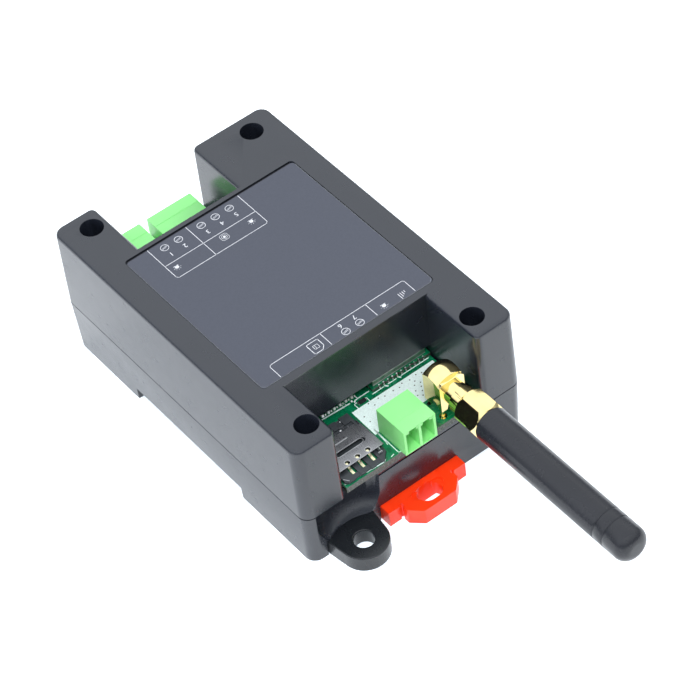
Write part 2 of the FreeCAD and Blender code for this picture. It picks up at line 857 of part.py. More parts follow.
def make_sma_body():
    """Gold right-angle socket: bulged block on four legs, front plate, relief and threaded barrel."""
    sides = box(
        aerial_x - sma_half_w, aerial_x + sma_half_w, sma_rear_y, sma_front_y, sma_under_z, case_height)
    body = sma_drum().common(sides).fuse(sma_plate())
    relief = Part.makeCylinder(sma_relief_r, sma_relief_len, V(aerial_x, sma_plate_y(), aerial_z), -Y_AXIS)
    barrel_y = sma_plate_y() - sma_relief_len
    barrel = Part.makeCylinder(thread_r, thread_len, V(aerial_x, barrel_y, aerial_z), -Y_AXIS)
    end_edge = [e for e in barrel.Edges if e.BoundBox.YMax < barrel_y - 1 and e.Closed]
    body = body.fuse(relief).fuse(barrel.makeChamfer(thread_edge, end_edge))
    for sx in (-1, 1):
        leg_x = aerial_x + sx * sma_half_w
        body = body.fuse(sma_leg(leg_x, -sx, sma_rear_y, -1))
        body = body.fuse(sma_leg(leg_x, -sx, sma_plate_y(), 1))
    mouth = V(aerial_x, barrel_end_y(), aerial_z)
    body = body.cut(Part.makeCylinder(sma_bore_r, sma_bore_len(), mouth, Y_AXIS))
    tail_len = aerial_z - sma_under_z + 1
    body = body.cut(Part.makeCylinder(sma_tail_bore_r, tail_len, V(aerial_x, sma_tail_y, sma_under_z - 1)))
    for x, y in sma_pin_spots():
        body = body.fuse(Part.makeCylinder(sma_pin_r, sma_under_z + 0.4 - board_z, V(x, y, board_z)))
    return body.removeSplitter()


def barrel_end_y():
    return sma_plate_y() - sma_relief_len - thread_len


def sma_bore_len():
    """Depth of the bore, from the barrel's end to just past the tail."""
    return sma_tail_y + sma_bore_past / 2 - barrel_end_y()


def sma_drum():
    """Turned drum about the socket's axis, which bulges between its rear and the front plate."""
    length = sma_rear_y - sma_front_y
    r = sma_arch_r
    side = Part.Arc(V(r, 0, 0), V(r + sma_bulge, 0, length / 2), V(r, 0, length)).toShape()
    rest = Part.makePolygon([V(r, 0, length), V(0, 0, length), V(0, 0, 0), V(r, 0, 0)])
    drum = Part.Face(Part.Wire([side] + rest.Edges)).revolve(V(0, 0, 0), Z_AXIS, 360)
    middle = V(aerial_x, sma_rear_y, aerial_z + sma_arch_top - sma_arch_r)
    drum.Placement = FreeCAD.Placement(middle, FreeCAD.Rotation(Z_AXIS, -Y_AXIS))
    return drum


def sma_plate():
    """Front plate with cut corners above, which goes down into the two front legs."""
    hw = sma_half_w
    top = aerial_z + sma_plate_top
    gap = hw - sma_leg_w
    points = [
        V(-hw, 0, top - sma_plate_corner), V(-hw, 0, sma_leg_z), V(-gap, 0, sma_leg_z),
        V(-gap + 0.4, 0, sma_under_z), V(gap - 0.4, 0, sma_under_z), V(gap, 0, sma_leg_z),
        V(hw, 0, sma_leg_z), V(hw, 0, top - sma_plate_corner), V(hw - sma_plate_corner, 0, top),
        V(-hw + sma_plate_corner, 0, top)]
    plate = Part.Face(Part.makePolygon(points + [points[0]])).extrude(V(0, -sma_plate_t, 0))
    plate.translate(V(aerial_x, sma_front_y, 0))
    return plate


def sma_leg(x, inward, y, along):
    """Corner leg that tapers from the block down to its foot."""
    top = sma_under_z + 0.2
    points = [
        V(x, y, top), V(x, y, sma_leg_z), V(x, y + along * sma_leg_foot, sma_leg_z),
        V(x, y + along * sma_leg_reach, sma_under_z), V(x, y + along * sma_leg_reach, top)]
    return Part.Face(Part.makePolygon(points + [points[0]])).extrude(V(inward * sma_leg_w, 0, 0))


def sma_tail(bottom):
    """Upright part of the centre contact, down to a height."""
    return Part.makeCylinder(sma_tail_r, aerial_z - bottom, V(aerial_x, sma_tail_y, bottom))


def make_sma_insulator():
    start = V(aerial_x, barrel_end_y() + sma_face_in, aerial_z)
    sleeve = tube(sma_bore_r, sma_socket_r, sma_bore_len() - sma_face_in, start, Y_AXIS)
    return sleeve.cut(sma_tail(sma_under_z))


def make_sma_socket():
    """Centre contact, bored at its open end, with a tail that goes down through the board."""
    start = V(aerial_x, barrel_end_y() + sma_socket_in, aerial_z)
    rod = Part.makeCylinder(sma_socket_r, sma_tail_y + sma_tail_r - start.y, start, Y_AXIS)
    bore = Part.makeCylinder(sma_socket_bore_r, sma_socket_bore_len, start, Y_AXIS)
    return rod.fuse(sma_tail(board_z)).cut(bore).removeSplitter()


def nut_end_y():
    return nut_start_y - nut_len


def make_antenna_nut():
    """Hexagon nut: chamfered ends, a bore over the barrel and a back wall with a hole."""
    radius = nut_af / math.sqrt(3)
    turn = math.radians(nut_turn)
    corners = []
    for i in range(6):
        a = turn + i * math.pi / 3
        corners.append(V(aerial_x - radius * math.sin(a), nut_start_y, aerial_z + radius * math.cos(a)))
    hexagon = Part.Face(Part.makePolygon(corners + [corners[0]])).extrude(V(0, -nut_len, 0))
    end_r = nut_af / 2 + 0.02
    out_r = radius + 0.01
    profile = [
        (0, 0), (end_r, 0), (out_r, nut_rise), (out_r, nut_len - nut_rise), (end_r, nut_len), (0, nut_len)]
    limit = turned(profile, V(aerial_x, nut_start_y, aerial_z), -Y_AXIS)
    nut = hexagon.common(limit)
    deep = nut_len - nut_back_t
    bore = Part.makeCylinder(thread_r + nut_fit, deep, V(aerial_x, nut_start_y, aerial_z), -Y_AXIS)
    hole = Part.makeCylinder(nut_neck_r, nut_len, V(aerial_x, nut_start_y, aerial_z), -Y_AXIS)
    return nut.cut(bore).cut(hole)


def make_antenna_ferrule():
    """Turned body of the plug: nose in the nut, collar behind the nut's wall, and shank in the sleeve."""
    face_y = barrel_end_y() - ferrule_gap
    collar_y = nut_end_y() + nut_back_t + ferrule_gap + ferrule_collar_len
    length = face_y - sleeve_start_y() + sleeve_root_len
    body = Part.makeCylinder(ferrule_r, length, V(aerial_x, face_y, aerial_z), -Y_AXIS)
    collar = Part.makeCylinder(ferrule_collar_r, ferrule_collar_len, V(aerial_x, collar_y, aerial_z), -Y_AXIS)
    body = body.fuse(collar)
    bore = Part.makeCylinder(antenna_insulator_r, length + 1, V(aerial_x, face_y + 1, aerial_z), -Y_AXIS)
    return body.cut(bore).removeSplitter()


def sleeve_start_y():
    return nut_end_y() - ferrule_gap


def sleeve_length():
    return sleeve_start_y() - sleeve_tip_y


def make_antenna_insulator():
    face_y = barrel_end_y() - ferrule_gap
    length = face_y - sleeve_start_y() + sleeve_root_len
    return tube(antenna_insulator_r, antenna_pin_r, length, V(aerial_x, face_y, aerial_z), -Y_AXIS)


def make_antenna_pin():
    """Centre pin of the plug, which runs back to the radiating element."""
    face_y = barrel_end_y() - ferrule_gap
    length = antenna_pin_len + face_y - sleeve_start_y() + sleeve_root_len
    return Part.makeCylinder(antenna_pin_r, length, V(aerial_x, face_y + antenna_pin_len, aerial_z), -Y_AXIS)


def make_antenna_sleeve():
    """Rubber sleeve: domed tip, two fine grooves near it, and a bore for ferrule and element."""
    length = sleeve_length()
    arc_mid = math.radians(45)
    flat_r = sleeve_r - sleeve_dome
    edges = []
    start = V(0, 0, 0)
    rim = V(sleeve_r, 0, 0)
    last = rim
    edges.append(Part.LineSegment(start, rim).toShape())
    for from_tip in sorted(sleeve_grooves, reverse=True):
        mid = length - from_tip
        stations = [
            V(sleeve_r, 0, mid - sleeve_groove_w / 2), V(sleeve_r - sleeve_groove, 0, mid),
            V(sleeve_r, 0, mid + sleeve_groove_w / 2)]
        for point in stations:
            edges.append(Part.LineSegment(last, point).toShape())
            last = point
    shoulder = V(sleeve_r, 0, length - sleeve_dome)
    edges.append(Part.LineSegment(last, shoulder).toShape())
    middle = V(
        flat_r + sleeve_dome * math.cos(arc_mid), 0, length - sleeve_dome + sleeve_dome * math.sin(arc_mid))
    tip = V(flat_r, 0, length)
    edges.append(Part.Arc(shoulder, middle, tip).toShape())
    edges.append(Part.LineSegment(tip, V(0, 0, length)).toShape())
    edges.append(Part.LineSegment(V(0, 0, length), start).toShape())
    solid = Part.Face(Part.Wire(edges)).revolve(V(0, 0, 0), Z_AXIS, 360)
    root = V(aerial_x, sleeve_start_y(), aerial_z)
    solid.Placement = FreeCAD.Placement(root, FreeCAD.Rotation(Z_AXIS, -Y_AXIS))
    shank = Part.makeCylinder(ferrule_r, sleeve_root_len, root, -Y_AXIS)
    return solid.cut(shank).cut(make_antenna_element())


def make_antenna_element():
    start = V(aerial_x, sleeve_start_y() - sleeve_root_len, aerial_z)
    return Part.makeCylinder(element_r, sleeve_length() - sleeve_root_len - sleeve_tip_wall, start, -Y_AXIS)


def sim_contact_x():
    return [sim_x + (i - 1) * sim_pitch for i in range(3)]


def make_sim_base():
    """Low plastic frame of the holder, with open slots for the contacts and a pocket for the card."""
    hw = sim_half_w - sim_sheet - sim_fit
    back_y = sim_front_y + sim_length
    outline = [
        (sim_x - hw, sim_front_y + 0.6, 0), (sim_x - hw + 0.6, sim_front_y, 0),
        (sim_x + hw - 1.6, sim_front_y, 0), (sim_x + hw, sim_front_y + 1.6, 0),
        (sim_x + hw, back_y, 0), (sim_x - hw, back_y, 0)]
    body = prism(outline, board_top, board_top + sim_h)
    pocket_hw = hw - sim_wall
    pocket_z = board_top + sim_floor
    pocket = box(sim_x - pocket_hw, sim_x + pocket_hw, sim_front_y + 2.2, back_y - 2.4, pocket_z, case_height)
    body = body.cut(pocket)
    half = sim_contact_w / 2 + sim_slot_gap
    reach = sim_finger_len + 2 * sim_slot_gap
    for x in sim_contact_x():
        for y0, y1 in ((sim_front_y - 1, sim_front_y + 0.3 + reach), (back_y - 0.3 - reach, back_y + 1)):
            body = body.cut(box(x - half, x + half, y0, y1, board_top - 1, case_height))
    for sx in (-1, 1):
        side = sim_x + sx * hw
        body = body.cut(Part.makeCylinder(
            sim_hinge_r + sim_fit, 0.6, V(side - sx * 0.6, sim_hinge_y, sim_hinge_z), X_AXIS * sx))
    return body.removeSplitter()


def make_sim_contacts():
    """Six sprung gold fingers: a flat tail on the board and a tip raised towards the card."""
    back_y = sim_front_y + sim_length
    strips = []
    for x in sim_contact_x():
        strips.append(sim_finger(x, sim_front_y + 0.3, 1))
        strips.append(sim_finger(x, back_y - 0.3, -1))
    return Part.makeCompound(strips)


def sim_finger(x, tail_y, way):
    t = sim_contact_t
    z0 = board_top
    tip_z = board_top + sim_h - 0.25
    flat = way * sim_tail_len
    crest = way * (sim_finger_len - 0.9)
    end = way * sim_finger_len
    points = [
        V(0, 0, z0), V(0, flat, z0), V(0, crest, tip_z - t), V(0, crest + way * 0.4, tip_z - t),
        V(0, end - way * 0.1, tip_z - 0.45), V(0, end, tip_z - 0.35), V(0, crest + way * 0.5, tip_z),
        V(0, crest - way * 0.1, tip_z), V(0, flat - way * 0.1, z0 + t), V(0, 0, z0 + t)]
    face = Part.Face(Part.makePolygon(points + [points[0]]))
    strip = face.extrude(V(sim_contact_w, 0, 0))
    strip.translate(V(x - sim_contact_w / 2, tail_y, 0))
    return strip


def make_sim_door():
    """Steel door: a plate with a long slot and three round windows, folded sides and pivot dimples."""
    z0 = board_top + sim_h + sim_fit
    z1 = z0 + sim_sheet
    hw = sim_half_w
    fold_y = sim_hinge_y - 1.0
    door = box(sim_x - hw, sim_x + hw, sim_door_front_y, fold_y, z0, z1)
    door = door.fuse(box(sim_x - hw + 1.2, sim_x + hw - 1.2, fold_y, sim_hinge_y - 0.3, z0, z1))
    side_z = sim_hinge_z - 0.5
    for sx in (-1, 1):
        edge = sim_x + sx * hw
        inner = edge - sx * sim_sheet
        door = door.fuse(box(edge, inner, sim_door_front_y + 1.5, fold_y, side_z, z1))
        door = door.fuse(box(edge, inner, fold_y, sim_hinge_y + 0.5, side_z, z0 - 0.1))
        door = door.fuse(Part.makeCylinder(
            sim_hinge_r, sim_sheet + 0.4, V(edge, sim_hinge_y, sim_hinge_z), X_AXIS * -sx))
    slot = slot_prism(sim_slot_half, sim_slot_r, sim_slot_y, z0 - 1, z1 + 1)
    slot.translate(V(sim_x, 0, 0))
    door = door.cut(slot)
    for x in sim_contact_x():
        door = door.cut(Part.makeCylinder(sim_window_r, 2, V(x, sim_door_front_y + 0.95, z0 - 1)))
    return door.removeSplitter()


def make_reset_case():
    """Body of the push button, with its four legs folded out on the board."""
    half = reset_size / 2
    body = standing_block(reset_x, reset_y, reset_size, reset_size, reset_case_h)
    cup_z = board_top + reset_case_h - reset_cup
    body = body.cut(Part.makeCylinder(reset_cap_r + reset_fit, reset_cup, V(reset_x, reset_y, cup_z)))
    tip = half + reset_leg_out
    for sx in (-1, 1):
        for sy in (-1, 1):
            y = reset_y + sy * (half - reset_leg_inset)
            leg = box(sx * half, sx * tip, y - reset_leg_w / 2, y + reset_leg_w / 2, 0, reset_leg_t)
            leg.translate(V(reset_x, 0, board_top))
            body = body.fuse(leg)
    return body


def make_reset_plunger():
    z0 = board_top + reset_case_h - reset_cup + reset_travel + 0.05
    top = board_top + reset_case_h + reset_cap_h
    cap = Part.makeCylinder(reset_cap_r, top - z0, V(reset_x, reset_y, z0))
    return cap.makeFillet(0.3, [e for e in cap.Edges if e.Closed and e.BoundBox.ZMin > z0 + 1])


def make_led(x, y):
    base = standing_block(x, y, led_length, led_width, led_base_h)
    lens = standing_block(x, y, led_lens_l, led_width, led_height)
    return base.fuse(lens).removeSplitter()


def make_module_board():
    """Module board with half-round castellations along its edges."""
    x1 = module_x0 + module_w
    y1 = module_y0 + module_l
    board = box(module_x0, x1, module_y0, y1, board_top, board_top + module_board_t)
    count = int((module_w - 2 * castle_end) / castle_pitch)
    start = module_x0 + (module_w - (count - 1) * castle_pitch) / 2
    for i in range(count):
        x = start + i * castle_pitch
        for y in (module_y0, y1):
            board = board.cut(Part.makeCylinder(castle_r, module_board_t + 2, V(x, y, board_top - 1)))
    return board


def make_module_shield():
    """Sheet metal can over the module, hollow and open below."""
    z0 = board_top + module_board_t
    x0 = module_x0 + shield_inset
    x1 = module_x0 + module_w - shield_inset
    y0 = module_y0 + shield_inset
    y1 = module_y0 + module_l - shield_inset
    can = box(x0, x1, y0, y1, z0, z0 + shield_h)
    can = can.makeFillet(shield_round, [e for e in can.Edges if e.BoundBox.ZMin > z0 + shield_h - 0.01])
    t = shield_t
    return can.cut(box(x0 + t, x1 - t, y0 + t, y1 - t, z0 - 1, z0 + shield_h - t))


def make_relay():
    """Sealed relay on four small feet."""
    x0 = relay_x - relay_w / 2
    y0 = relay_y - relay_l / 2
    solid = box(x0, x0 + relay_w, y0, y0 + relay_l, board_top + relay_standoff, board_top + relay_h)
    upright = [e for e in solid.Edges if e.BoundBox.ZLength > relay_h / 2]
    solid = solid.makeFillet(relay_round, upright)
    half = relay_foot / 2
    for sx in (-1, 1):
        for sy in (-1, 1):
            x = relay_x + sx * relay_foot_x
            y = relay_y + sy * relay_foot_y
            foot = box(x - half, x + half, y - half, y + half, board_top, board_top + relay_standoff)
            solid = solid.fuse(foot)
    return solid.removeSplitter()


def make_capacitors():
    cans = []
    for x, y in can_spots:
        can = Part.makeCylinder(can_r, can_h, V(x, y, board_top))
        start = V(x, y, board_top + can_groove_z)
        groove = tube(can_r + 1, can_r - can_groove_t, can_groove_w, start, Z_AXIS)
        cans.append(can.cut(groove))
    return Part.makeCompound(cans)


def make_power_coil():
    half = coil_size / 2
    coil = prism(rectangle(half, half, coil_round), board_top, board_top + coil_h)
    coil.translate(V(coil_x, coil_y, 0))
    return coil


def make_board_chips():
    """Controller, regulator, diode and driver chips as plain moulded blocks."""
    return Part.makeCompound([standing_block(*chip) for chip in chips])


def make_board_passives():
    """Row of small capacitors and resistors at the front bay, and a few behind the module."""
    blocks = []
    for i in range(passive_count):
        x = passive_x + i * passive_pitch
        blocks.append(standing_block(x, passive_y, passive_w, passive_l, passive_h))
    for x, y in loose_passives:
        blocks.append(standing_block(x, y, passive_l, passive_w, passive_h))
    return Part.makeCompound(blocks)


def standing_block(x, y, w, l, h):
    """Block on the board, from its middle, width, length and height."""
    return box(x - w / 2, x + w / 2, y - l / 2, y + l / 2, board_top, board_top + h)


def all_nodes():
    """Every node with its shape."""
    nodes = {
        "top_cover": make_top_cover(),
        "base_shell": make_base_shell(),
        "cover_screws": make_cover_screws(),
        "label_plate": make_label_plate(),
        "front_mounting_ear": make_ear(),
        "rear_mounting_ear": make_rear_ear(),
        "din_clip": make_din_clip(),
        "main_board": make_main_board(),
        "board_screws": make_board_screws(),
        "sma_body": make_sma_body(),
        "sma_insulator": make_sma_insulator(),
        "sma_centre_socket": make_sma_socket(),
        "antenna_nut": make_antenna_nut(),
        "antenna_ferrule": make_antenna_ferrule(),
        "antenna_insulator": make_antenna_insulator(),
        "antenna_pin": make_antenna_pin(),
        "antenna_sleeve": make_antenna_sleeve(),
        "antenna_element": make_antenna_element(),
        "sim_base": make_sim_base(),
        "sim_contacts": make_sim_contacts(),
        "sim_door": make_sim_door(),
        "reset_switch_case": make_reset_case(),
        "reset_plunger": make_reset_plunger(),
        "gsm_module_board": make_module_board(),
        "gsm_module_shield": make_module_shield(),
        "relay": make_relay(),
        "capacitors": make_capacitors(),
        "power_coil": make_power_coil(),
        "board_chips": make_board_chips(),
        "board_passives": make_board_passives(),
    }
    for name, x, poles, face_y, facing in header_list():
        nodes[name + "_header"] = make_header(x, poles, face_y, facing)
        nodes[name + "_header_pins"] = make_header_pins(x, poles, face_y, facing)
    for name, (x, y) in led_spots.items():
        nodes[name] = make_led(x, y)
    return nodes


os.makedirs("parts", exist_ok=True)
for node, shape in all_nodes().items():
    shape.exportStep("parts/" + node + ".step")
    state = "valid" if shape.isValid() else "INVALID"
    print(node, len(shape.Solids), "solids", round(shape.Volume, 2), "mm3", state)
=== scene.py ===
"""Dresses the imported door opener: finishes, printed label and board, fine parts, stage and camera."""
import math

import bmesh
import bpy
from bpy.props import FloatProperty, FloatVectorProperty, PointerProperty
from mathutils import Matrix, Vector


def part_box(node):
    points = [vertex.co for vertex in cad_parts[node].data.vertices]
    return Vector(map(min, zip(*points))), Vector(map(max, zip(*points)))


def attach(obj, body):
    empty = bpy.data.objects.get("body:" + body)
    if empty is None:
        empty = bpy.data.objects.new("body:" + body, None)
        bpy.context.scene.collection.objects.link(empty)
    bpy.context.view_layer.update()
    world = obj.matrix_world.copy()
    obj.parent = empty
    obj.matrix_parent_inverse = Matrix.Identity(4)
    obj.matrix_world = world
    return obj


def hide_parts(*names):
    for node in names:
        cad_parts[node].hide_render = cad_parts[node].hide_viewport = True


bl_info = {
    "name": "Door opener dressing",
    "version": (1, 0, 0),
    "blender": (4, 5, 0),
    "location": "View3D > Sidebar > Door opener",
    "description": "Finishes, printed label and board, fine parts, stage and camera for the door opener",
    "category": "Object",
}

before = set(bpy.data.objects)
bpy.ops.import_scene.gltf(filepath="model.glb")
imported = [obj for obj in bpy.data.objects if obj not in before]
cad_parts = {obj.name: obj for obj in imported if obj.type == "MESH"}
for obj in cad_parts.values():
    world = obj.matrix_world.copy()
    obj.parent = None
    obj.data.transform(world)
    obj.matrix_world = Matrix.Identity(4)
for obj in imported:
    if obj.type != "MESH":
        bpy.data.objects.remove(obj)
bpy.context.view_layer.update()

MM = 0.001

# Sizes and places are in millimetres in the frame, unless a line says otherwise.
# How deep fine parts sink into the surface that carries them.
SINK = 0.01
# Where the socket's thread starts, hidden in the nut until the antenna is unscrewed.
THREAD_START = -48.0
# Pitches of the headers' poles, the SIM holder's fingers and the radio module's pads.
POLE_PITCH = 3.5
FINGER_PITCH = 2.7
PAD_PITCH = 1.19
# Sockets of a colour Mix node: its two inputs and its result.
MIX_A, MIX_B, MIX_RESULT = 6, 7, 2


def linear(code):
    """Linear RGBA of an sRGB hex colour such as 5a5f67."""
    channels = [int(code[i:i + 2], 16) / 255 for i in (0, 2, 4)]
    return [c / 12.92 if c <= 0.04045 else ((c + 0.055) / 1.055) ** 2.4 for c in channels] + [1.0]


def colour(name, description, code):
    return FloatVectorProperty(
        name=name, description=description, subtype="COLOR", size=4, min=0, max=1, default=linear(code))


def length(name, description, mm):
    return FloatProperty(
        name=name, description=description, default=mm * MM, min=0, unit="LENGTH", precision=5)


class OpenerSettings(bpy.types.PropertyGroup):
    """Sizes and colours that a user would change."""
    case_colour: colour("Case", "Satin black ABS of the cover and base", "1c2029")
    ear_colour: colour("Ears", "Glossier black of the mounting ears", "1a1d21")
    clip_colour: colour("Rail clip", "Red of the rail clip", "ff3a0c")
    film_colour: colour("Label film", "Slate grey of the printed film", "3e424e")
    ink_colour: colour("Label ink", "White ink on the film", "dde1e8")
    header_colour: colour("Headers", "Light green of the plug-in headers", "92ec90")
    mask_colour: colour("Solder mask", "Green of the circuit boards", "0a7a50")
    silk_colour: colour("Board print", "White print on the circuit board", "ecfffd")
    gold_colour: colour("Gold", "Gold plating of the aerial parts", "f7e3a2")
    rubber_colour: colour("Aerial sleeve", "Black of the moulded rubber sleeve", "1d1f25")
    relay_colour: colour("Relay", "Blue of the relay's case", "1c5fae")
    edge_width: length("Edge width", "Width of the base's rounded edges, which the other parts follow", 0.2)
    ink_width: length("Line width", "Width of the printed lines on the label", 0.13)
    ink_height: length("Ink height", "Thickness of printed ink", 0.02)


def settings():
    return bpy.context.scene.opener


def add(tree, kind, inputs=None, stops=None, **values):
    """Adds a shader node with its settings, its values or links, and the two stops of a colour ramp."""
    made = tree.nodes.new("ShaderNode" + kind)
    for key, value in values.items():
        setattr(made, key, value)
    for socket, value in (inputs or {}).items():
        if isinstance(value, bpy.types.NodeSocket):
            tree.links.new(value, made.inputs[socket])
        else:
            made.inputs[socket].default_value = value
    if stops:
        for element, (position, rgba) in zip(made.color_ramp.elements, stops):
            element.position = position
            element.color = rgba
    return made


def cleared(holder):
    """Empty node tree of a new material or world."""
    holder.use_nodes = True
    holder.node_tree.nodes.clear()
    return holder.node_tree


def grey(value):
    return (value, value, value, 1)


def scaled(rgba, factor):
    return [min(1.0, c * factor) for c in rgba[:3]] + [1.0]


class Finish:
    """Material with a Principled shader, patterned over object coordinates."""

    def __init__(self, **sockets):
        self.material = bpy.data.materials.new("look")
        self.tree = cleared(self.material)
        self.shader = add(self.tree, "BsdfPrincipled", sockets)
        add(self.tree, "OutputMaterial", {"Surface": self.shader.outputs[0]})
        self.place = add(self.tree, "TexCoord").outputs["Object"]

    def pattern(self, grain_mm, detail=2.0, place=None):
        """Irregular pattern whose spots are about grain_mm across."""
        return add(self.tree, "TexNoise", {
            "Vector": place or self.place, "Scale": 1 / (grain_mm * MM), "Detail": detail}).outputs["Fac"]

    def tint(self, factor, *stops):
        """Base colour that follows a pattern."""
        shade = add(self.tree, "ValToRGB", {"Fac": factor}, stops)
        self.tree.links.new(shade.outputs["Color"], self.shader.inputs["Base Color"])

    def vary(self, factor, low, high):
        """Roughness that follows a pattern."""
        rough = add(self.tree, "ValToRGB", {"Fac": factor}, [(0.3, grey(low)), (0.7, grey(high))])
        self.tree.links.new(rough.outputs["Color"], self.shader.inputs["Roughness"])

    def relief(self, height, depth_mm):
        """Bump of a real depth."""
        bump = add(self.tree, "Bump", {"Height": height, "Distance": depth_mm * MM})
        self.tree.links.new(bump.outputs["Normal"], self.shader.inputs["Normal"])

    def translucent(self, weight, *depths_mm):
        """Lets light pass a little way into the material, by its own depth for red, green and blue."""
        self.shader.inputs["Subsurface Weight"].default_value = weight
        self.shader.inputs["Subsurface Radius"].default_value = [depth * MM for depth in depths_mm]
        self.shader.inputs["Subsurface Scale"].default_value = 1.0


def either(tree, *factors):
    """The largest of several factors, such as the flags of a ray."""
    largest = factors[0]
    for factor in factors[1:]:
        largest = add(tree, "Math", {0: largest, 1: factor}, operation="MAXIMUM").outputs[0]
    return largest


def moulded_plastic(rgba, roughness, grain_mm, depth_mm, spread=0.06, index=1.5):
    """Moulded plastic: cloudy tone, faint handling marks and a fine spark-eroded grain."""
    # The real grain is finer. It is drawn as coarse as it needs to show.
    cloud_mm, mark_mm = 9.0, 3.0
    look = Finish(IOR=index)
    tone = look.pattern(cloud_mm, 3.0)
    look.tint(tone, (0.3, scaled(rgba, 1 - spread)), (0.7, scaled(rgba, 1 + spread)))
    look.vary(look.pattern(mark_mm, 4.0), roughness - 0.02, roughness + 0.03)
    look.relief(look.pattern(grain_mm), depth_mm)
    return look


def satin_abs():
    # ABS, injection moulded with a fine satin texture: soft wide highlights on charcoal black.
    return moulded_plastic(settings().case_colour, 0.25, 0.4, 0.001, spread=0.03, index=1.62)


def gloss_abs():
    # ABS from a polished mould: darker than the case, with crisp highlights.
    return moulded_plastic(settings().ear_colour, 0.27, 0.6, 0.002)


def red_nylon():
    # Nylon, injection moulded: saturated red with a soft sheen and slight glow in thin edges.
    look = moulded_plastic(settings().clip_colour, 0.33, 0.5, 0.004, spread=0.05)
    look.translucent(0.15, 1.2, 0.3, 0.2)
    return look


def green_polyamide():
    # Polyamide header housing: light green, slightly translucent, smooth with faint flow marks.
    look = moulded_plastic(settings().header_colour, 0.34, 0.5, 0.003, spread=0.03)
    look.translucent(0.08, 0.4, 1.0, 0.4)
    return look


def printed_film():
    # Polycarbonate film with a velvet face: fine pebble that scatters highlights.
    rgba = settings().film_colour
    look = Finish(IOR=1.55)
    look.tint(look.pattern(0.45), (0.35, scaled(rgba, 0.97)), (0.65, scaled(rgba, 1.04)))
    look.vary(look.pattern(0.5), 0.42, 0.5)
    look.relief(look.pattern(0.3, 3.0), 0.002)
    return look


def printed_ink(rgba):
    """Screen-printed ink: matt, slightly uneven in cover."""
    look = Finish(IOR=1.5)
    look.tint(look.pattern(0.25, 3.0), (0.25, scaled(rgba, 0.82)), (0.6, rgba))
    look.vary(look.pattern(0.4), 0.5, 0.62)
    return look


def label_ink():
    # White screen ink on the label film.
    return printed_ink(settings().ink_colour)


def film_edge_highlight():
    # Pale grey line on the film's cut edge: a painted highlight where the edge catches the light.
    return printed_ink(linear("8c9196"))


def board_ink():
    # White epoxy ink on the circuit board.
    return printed_ink(settings().silk_colour)


def solder_mask():
    # Epoxy-glass laminate under green solder mask: glossy, with the weave faintly showing.
    rgba = settings().mask_colour
    look = Finish(IOR=1.52)
    tree = look.tree
    # Real threads lie about 0.5 mm apart. They are drawn coarser, so that they show: the wave texture
    # repeats every tau / 20 / scale metres, here every 1.776 mm.
    weave_scale = math.tau / 20 / (1.776 * MM)
    weave_x, weave_y = (
        add(tree, "TexWave", {"Vector": look.place, "Scale": weave_scale}, bands_direction=axis)
        for axis in "XY")
    weave = add(tree, "Math", {0: weave_x.outputs["Fac"], 1: weave_y.outputs["Fac"]},
                operation="MULTIPLY").outputs[0]
    # Fields of copper and of bare laminate under the mask differ in tone.
    fields = look.pattern(2.2, 0.0)
    copper = add(tree, "ValToRGB", {"Fac": fields}, [(0.47, scaled(rgba, 0.72)), (0.5, rgba)])
    threads = add(tree, "ValToRGB", {"Fac": weave}, [(0.0, grey(0.9)), (1.0, grey(1.0))])
    mask = add(tree, "Mix", {
        "Factor": 1.0, MIX_A: copper.outputs["Color"], MIX_B: threads.outputs["Color"]},
        data_type="RGBA", blend_type="MULTIPLY").outputs[MIX_RESULT]
    # The sawn edge shows the bare laminate: grey-olive.
    facing = add(tree, "SeparateXYZ", {
        "Vector": add(tree, "TexCoord").outputs["Normal"]}).outputs["Z"]
    flat = add(tree, "Math", {0: facing, 1: 0.5}, operation="GREATER_THAN").outputs[0]
    bare = linear("3c443c")
    face = add(tree, "Mix", {"Factor": flat, MIX_A: bare, MIX_B: mask}, data_type="RGBA")
    tree.links.new(face.outputs[MIX_RESULT], look.shader.inputs["Base Color"])
    look.vary(look.pattern(0.8), 0.2, 0.32)
    look.relief(look.pattern(1.1), 0.01)
    return look


def gold_plate():
    # Brass with bright gold plating: a mirror in pale yellow, a little rippled by the polishing.
    rgba = settings().gold_colour
    look = Finish(Metallic=1.0)
    look.tint(look.pattern(2.5, 4.0), (0.3, scaled(rgba, 0.9)), (0.7, scaled(rgba, 1.04)))
    look.vary(look.pattern(0.9, 4.0), 0.06, 0.14)
    look.relief(look.pattern(0.45, 1.0), 0.003)
    return look


def brushed_metal(code, low, high, line_mm=0.12, along="x"):
    """Rolled or drawn metal: streaks along one direction, with a roughness from low to high."""
    # Real streaks are finer. They are drawn as coarse as they need to show.
    rgba = linear(code)
    look = Finish(Metallic=1.0)
    squeeze, cloud_mm = 0.06, 2.5
    stretch = (squeeze, 1, 1) if along == "x" else (1, squeeze, 1)
    lay = add(look.tree, "Mapping", {"Vector": look.place, "Scale": stretch}).outputs[0]
    streak = look.pattern(line_mm, 3.0, lay)
    look.tint(look.pattern(cloud_mm, 3.0), (0.3, scaled(rgba, 0.8)), (0.7, scaled(rgba, 1.1)))
    look.vary(streak, low, high)
    look.relief(streak, 0.001)
    return look


def tinned_steel():
    # Tinned steel sheet: pale grey, streaked by rolling.
    return brushed_metal("b8b8b4", 0.25, 0.4)


def rolled_steel():
    # Stainless steel sheet, rolled: grey with fine long streaks.
    return brushed_metal("a5a5a8", 0.24, 0.36, 0.05, "y")


def pale_gold():
    # Selective gold on the SIM fingers: very pale yellow.
    return brushed_metal("f3ecc4", 0.25, 0.4, 0.2)


def bright_steel_and_highlights():
    # Freshly cut steel and solder: nearly white. It also paints the highlights on the SIM door's rib and
    # lips and along the module shield's lower edge.
    return brushed_metal("dcdcde", 0.3, 0.45, 0.08)


